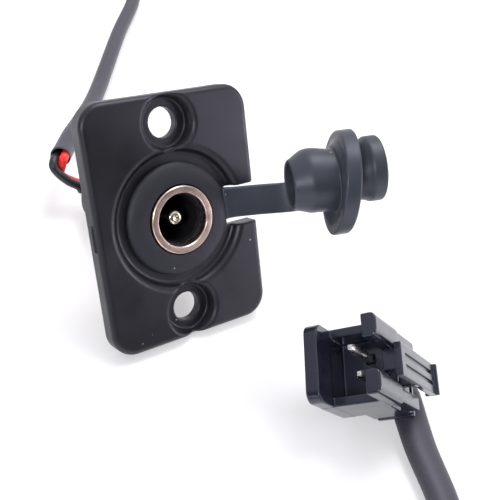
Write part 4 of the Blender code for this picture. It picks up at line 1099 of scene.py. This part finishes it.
class PORT_OT_plug(bpy.types.Operator):
    """Latching plug: shroud, guide rails, lever and two pins"""

    bl_idname = "port.plug"
    bl_label = "Plug"

    def execute(self, context):
        settings = context.scene.port_plug
        soft, cell = settings.edge_round / MM, settings.cell / MM
        material = moulded_material("plug_plastic_glossy", settings.colour, 0.22, 4200.0, 0.000005, dust=0.05)
        gloss = material.node_tree.nodes["Principled BSDF"].inputs
        gloss["Coat Weight"].default_value = 0.25
        gloss["Coat Roughness"].default_value = 0.12
        reach = PLUG_W / 2 + 0.4
        housing = moulded("plug_housing", lambda p: housing_field(p, soft), (-0.3, -reach, -0.3),
                          (15.2, reach, 9.1), cell, PLUG, material)
        settle(housing, "inlet", "plug_plastic", "connector_housing")
        lever = moulded("latch_lever", lambda p: lever_field(p, soft * 0.6), (3.7, -2.2, 7.3),
                        (16.4, 2.2, 10.6), cell * 0.75, PLUG, material)
        settle(lever, "lever", "plug_plastic", "connector_lever")
        tin = tin_material()
        for node, name in (("terminal_red", "pin_of_red_wire"), ("terminal_black", "pin_of_black_wire")):
            settle(refined(node, name, 0.05, tin), "inlet", "tin", node)
        return {"FINISHED"}


def housing_field(p, soft):
    """Distance to the plug's housing: floor, walls, rails and rear, less the cavity, window and pin holes."""
    x, y, z = np.moveaxis(p, -1, 0)
    side = np.abs(y)
    q = np.stack([x, side, z], axis=-1)
    half = PLUG_W / 2
    outline = rounded(PLUG_FLOOR_CORNER - x, side - (half - PLUG_FLOOR_CORNER), PLUG_FLOOR_CORNER)
    floor = meet(meet(meet(outline, x - PLUG_STEP, soft), -z, soft), z - PLUG_FLOOR_T, soft)
    walls = block(p, (PLUG_WALL_FRONT, -half, 0), (PLUG_STEP, half, PLUG_ROOF), soft)

    inner = half - RAIL_W
    rail = block(q, (0, inner, RAIL_LOW), (RAIL_LENGTH, half, RAIL_TOP), 0.22)
    crown = np.hypot(np.maximum(np.abs(side - (inner + half) / 2) - (RAIL_W / 2 - RAIL_CROWN), 0),
                     np.maximum(z - (RAIL_TOP - RAIL_CROWN), 0)) - RAIL_CROWN
    rail = meet(rail, crown, 0.1)
    step = block(q, (RAIL_LENGTH - 1, RAIL_STEP[0], PLUG_ROOF - 1),
                 (RAIL_STEP_END, RAIL_STEP[1], RAIL_STEP_TOP), soft)
    rear = block(p, (PLUG_STEP - 1, -PLUG_REAR_W / 2, PLUG_REAR_LOW),
                 (PLUG_REAR_END + 0.3, PLUG_REAR_W / 2, PLUG_ROOF), 0.5)
    lip = block(p, (PLUG_REAR_END, -PLUG_LIP_W / 2, PLUG_LIP_LOW),
                (PLUG_REAR_END + PLUG_LIP_T, PLUG_LIP_W / 2, PLUG_LIP_TOP), soft)
    body = join_all([(floor, 0), (walls, 0.12), (rail, 0.1), (step, 0.1), (rear, 0.15), (lip, 0.08)])

    cavity_side = half - PLUG_WALL_T
    cavity = block(p, (-3, -cavity_side, PLUG_FLOOR_T),
                   (PLUG_CAVITY_END, cavity_side, PLUG_ROOF - PLUG_ROOF_T), 0.12)
    window = block(p, (-3, -inner, 6.5), (PLUG_CAVITY_END, inner, 12.0), 0.1)
    body = cut(cut(body, cavity, 0.1), window, 0.1)
    near, far = TERMINAL_PITCH / 2 - TERMINAL_HOLE_W / 2, TERMINAL_PITCH / 2 + TERMINAL_HOLE_W / 2
    low, high = TERMINAL_LEVEL - TERMINAL_HOLE_W / 2, TERMINAL_LEVEL + TERMINAL_HOLE_W / 2
    return cut(body, block(q, (6.8, near, low), (16.0, far, high), 0.03), 0.08)


def lever_field(p, soft):
    """Distance to the latch lever: a bar with a hook, an upturned end and a web, less two grooves."""
    x, y, z = np.moveaxis(p, -1, 0)
    q = np.stack([x, np.abs(y), z], axis=-1)
    half = LEVER_W / 2
    bar = block(p, (LEVER_FRONT, -half, LEVER_UNDER), (LEVER_END - 0.09, half, LEVER_TOP), soft)
    end = block(p, (LEVER_END - LEVER_LIP_T, -half, LEVER_LIP_LOW), (LEVER_END, half, LEVER_LIP_TOP), soft)
    hook_end = LEVER_FRONT + LEVER_HOOK
    hook = block(p, (LEVER_FRONT, -LEVER_HOOK_W / 2, LEVER_HOOK_LOW),
                 (hook_end, LEVER_HOOK_W / 2, LEVER_TOP - GROOVE_DEPTH), soft)
    web = block(p, (LEVER_WEB[0], -half, PLUG_ROOF + 0.3), (LEVER_WEB[1], half, 9.4), soft)
    body = join_all([(bar, 0), (end, 0.1), (hook, 0.08), (web, 0.35)])
    near, far = GROOVE_OFFSET - GROOVE_W / 2, GROOVE_OFFSET + GROOVE_W / 2
    groove = block(q, (hook_end, near, LEVER_TOP - GROOVE_DEPTH), (LEVER_END - 1, far, 12.0), 0.05)
    return cut(body, groove, 0.06)


class PORT_OT_lead(bpy.types.Operator):
    """Sleeved two-wire lead from behind the jack to the plug"""

    bl_idname = "port.lead"
    bl_label = "Lead"

    def execute(self, context):
        settings = context.scene.port_lead
        dark = insulation_material("sleeve_satin", settings.sleeve_colour, 0.48, 0.5)
        red = insulation_material("red_insulation_satin", settings.red_colour, 0.40, 0.45)
        black = insulation_material("black_insulation_satin", settings.black_colour, 0.38, 0.5)
        tin = tin_material()
        line = sleeve_route()
        sleeve = make_sleeve(line, settings, dark)
        settle(sleeve, "inlet", "sleeve_rubber", "cable_sleeve")
        routes = wire_routes()
        pieces = []
        for name, node, slot, paint in (("black_wire", "wire_black", "black_insulation", black),
                                        ("red_wire", "wire_red", "red_insulation", red)):
            wire = make_wire(name, routes[name], paint)
            settle(wire, "inlet", slot, node)
            joint = make_solder(name + "_solder", routes[name][-1], routes[name][-1] - routes[name][-4], tin)
            settle(joint, "inlet", "tin")
            pieces += [wire, joint]
        return {"FINISHED"}


def sleeve_route():
    """Middle line of the sleeve in the row's frame: from beside the jack, round on the table, to the plug."""
    lean = Matrix.Rotation(-LEAN, 3, "X")
    start = lean @ SLEEVE_MOUTH + Vector((0, 0, AXIS_HEIGHT))
    facing = lean @ SLEEVE_FACING
    turn = PLUG.to_3x3()
    entry = PLUG_PLACE + turn @ Vector((15.1, 0, TERMINAL_LEVEL))
    lie = SLEEVE_R + SLEEVE_LIFT
    knots = [start, start - facing * 2.5, (-0.8, 30.3, 6.8), (3.5, 36.3, 4.8), (8.5, 43.2, 2.8),
             (12.8, 49.3, 1.8)]
    flat = [(17.5, 56), (27, 69.5), (37.2, 83.1), (40.4, 91.2), (37, 99.3), (28.9, 102.7), (16.4, 100.8),
            (6.9, 92.8), (0.9, 76.3), (-11.6, 41.3), (-24.1, 6.3), (-32.2, -16.7), (-32.1, -24.8),
            (-26.7, -30.8), (-14.3, -37.9), (-2, -45), (3.9, -46.2), (10.8, -43), (12.8, -40.1)]
    knots += [(x, y, lie) for x, y in flat]
    knots += [(15.0, -34.6, 1.6), (16.5, -31.5, 1.65), (17.9, -28.9, 1.65), (18.7, -27.1, 1.9)]
    knots += [entry + turn @ Vector((1.2, 0, 0)), entry]
    line = smooth_path(knots, 0.9)
    line[:, 2] = np.maximum(line[:, 2], lie)
    return line + np.array(TABLE_SHIFT)


def make_sleeve(line, settings, material):
    """Hollow round sleeve, a little open at its mouth and flatter to the plug, where the wires lie apart."""
    run = distance_along(line)
    total = run[-1]
    wall = settings.sleeve_wall / MM
    depth = 7.0
    inner = np.array([depth, depth, 5.0, 3.0, 1.5, 0.6, 0.15])
    inner_r = np.array([0.0, *[SLEEVE_R - wall] * 6])
    rim = np.array([0.02, 0.0, 0.0, 0.02])
    rim_r = SLEEVE_R - wall * np.array([0.8, 0.6, 0.35, 0.12])
    outer = np.concatenate([[0.15, 0.4], run[1:-1], [total - 0.1, total, total]])
    outer_r = np.concatenate([np.full(len(outer) - 3, SLEEVE_R), [SLEEVE_R, SLEEVE_R - 0.12, 0.0]])
    stations = np.concatenate([inner, rim, outer])
    radius = np.concatenate([inner_r, rim_r, outer_r])
    to_plug = np.clip((stations - (total - 38)) / 36, 0, 1)
    mouth = np.exp(-(stations / 1.4) ** 2)
    across = radius * (1 + 0.6 * to_plug + 0.03 * mouth)
    through = radius * (1 - 0.14 * to_plug + 0.03 * mouth)
    rise = np.broadcast_to(np.array([0.0, 0.0, 1.0]), line.shape)
    points = swept(line, rise, stations, across, through, circle(settings.around))
    sleeve = skin("sleeve", points, grid_faces(len(stations), settings.around, False, True), ROW, material)
    lay_along(sleeve, line * MM)
    return sleeve


def lay_along(item, path):
    """UV map "along": v is the distance along the path in centimetres, u the turn round it from 0 to 1.

    u runs up and down again as a cosine, so that it has no seam.
    """
    mesh = item.data
    co = np.empty(len(mesh.vertices) * 3)
    mesh.vertices.foreach_get("co", co)
    co = co.reshape(-1, 3)
    run = distance_along(path)
    nearest = np.concatenate([np.linalg.norm(part[:, None, :] - path[None, :, :], axis=-1).argmin(axis=1)
                              for part in np.array_split(co, max(1, len(co) // 2000))])
    ahead = unit(np.gradient(path, axis=0))[nearest]
    away = co - path[nearest]
    along = run[nearest] + (away * ahead).sum(axis=1)
    side = unit(np.cross(ahead, (0.0, 0.0, 1.0)))
    turn = 0.5 + 0.5 * (unit(away + 1e-9) * side).sum(axis=1)
    coords = np.stack([turn, along * 100], axis=1)
    loops = np.empty(len(mesh.loops), int)
    mesh.loops.foreach_get("vertex_index", loops)
    mesh.uv_layers.new(name="along").data.foreach_set("uv", coords[loops].ravel())


def wire_routes():
    """Middle lines of the two wires in the inlet's frame, from inside the sleeve down to their tags."""
    aside = SLEEVE_FACING.cross(Vector((0, 0, 1))).normalized()
    start = SLEEVE_MOUTH + SLEEVE_FACING * 0.3
    apart = aside * WIRE_SPREAD
    left, right = sorted((start - apart, start + apart), key=lambda point: point.x)
    inside = -SLEEVE_FACING * 5.0
    out = Vector((-1, 0, 1)).normalized()
    tongue = Vector((0, 25.2, 0))
    black = [left + inside, left, left + SLEEVE_FACING * 0.5, (-6.6, 23.2, 5.8), (-6.1, 23.2, 4.7),
             (-4.7, 23.35, 3.2), (-3.3, 23.6, 2.2), (-2.75, 23.7, 1.15)]
    red = [right + inside, right, right + SLEEVE_FACING * 0.5, (-5.3, 23.5, 5.6), (-5.3, 24.4, 4.8),
           (-5.0, 25.0, 3.9), (-3.6, 25.15, 2.9), tongue + out * 2.9]
    return {"black_wire": smooth_path(black, 0.25), "red_wire": smooth_path(red, 0.25)}


def make_wire(name, line, material):
    """Round insulated wire along its line, with eased ends."""
    run = distance_along(line)
    total = run[-1]
    stations = np.concatenate([[0, 0, 0.06], run[1:-1], [total - 0.08, total, total]])
    radius = np.concatenate([[0, 0.52, WIRE_R], np.full(len(run) - 2, WIRE_R), [WIRE_R, 0.5, 0]])
    rise = carried(line, (0.3, 0.2, 1.0))
    points = swept(line, rise, stations, radius, radius, circle(24))
    wire = skin(name, points, grid_faces(len(stations), 24, False, True), INLET, material)
    matrix = np.array(INLET)
    lay_along(wire, (line @ matrix[:3, :3].T + matrix[:3, 3]) * MM)
    return wire


def make_solder(name, place, along, material):
    """Lump of solder: an egg drawn out along the wire, its surface a little wavy."""
    half_sizes = (0.85, 0.66, 0.62)
    u = np.linspace(0, math.pi, 22)[None, :]
    v = np.linspace(0, 2 * math.pi, 32, endpoint=False)[:, None]
    waves = 1 + 0.07 * np.sin(3 * v + 1) * np.sin(u) + 0.06 * np.cos(2 * u + v)
    ahead = unit(np.asarray(along, float))
    side = unit(np.cross(ahead, (0.3, 0.9, 0.2)))
    rise = np.cross(ahead, side)
    shares = (np.cos(u) * half_sizes[0] * waves + 0.12, np.sin(u) * np.cos(v) * half_sizes[1] * waves,
              np.sin(u) * np.sin(v) * half_sizes[2] * waves)
    axes = zip(shares, (ahead, side, rise))
    points = np.asarray(place) + sum(share[..., None] * axis for share, axis in axes)
    return skin(name, points, grid_faces(32, 22, True, False), INLET, material)


class PORT_PT_panel(bpy.types.Panel):
    """Lists the builders of the charge port inlet"""

    bl_idname = "PORT_PT_panel"
    bl_label = "Charge Port Inlet"
    bl_space_type = "VIEW_3D"
    bl_region_type = "UI"
    bl_category = "Charge Port"

    def draw(self, context):
        for operator in OPERATORS:
            self.layout.operator(operator.bl_idname)


OPERATORS = (PORT_OT_stage, PORT_OT_plug, PORT_OT_lead, PORT_OT_flange, PORT_OT_boot, PORT_OT_cap,
             PORT_OT_jack, PORT_OT_fastening, PORT_OT_contacts)
SETTINGS = {"port_stage": StageSettings, "port_flange": FlangeSettings, "port_rubber": RubberSettings,
            "port_jack": JackSettings, "port_lead": LeadSettings, "port_plug": PlugSettings}


def register():
    """Register the settings, operators and panel."""
    for name, kind in SETTINGS.items():
        bpy.utils.register_class(kind)
        setattr(bpy.types.Scene, name, PointerProperty(type=kind))
    for kind in (*OPERATORS, PORT_PT_panel):
        bpy.utils.register_class(kind)


def unregister():
    """Take the panel, operators and settings away again."""
    for kind in reversed((*OPERATORS, PORT_PT_panel)):
        bpy.utils.unregister_class(kind)
    for name, kind in SETTINGS.items():
        delattr(bpy.types.Scene, name)
        bpy.utils.unregister_class(kind)


def plain(box):
    """Bounding box as lists of plain numbers."""
    return [[float(value) for value in corner] for corner in box]


def main():
    """Register the classes and build every piece in order."""
    register()
    bpy.context.scene.view_settings.view_transform = "Standard"
    bpy.ops.port.stage()
    bpy.ops.port.plug()
    bpy.ops.port.lead()
    bpy.ops.port.flange()
    bpy.ops.port.boot()
    bpy.ops.port.cap()
    bpy.ops.port.jack()
    bpy.ops.port.fastening()
    bpy.ops.port.contacts()
    bpy.context.view_layer.update()


if __name__ == "__main__":
    main()
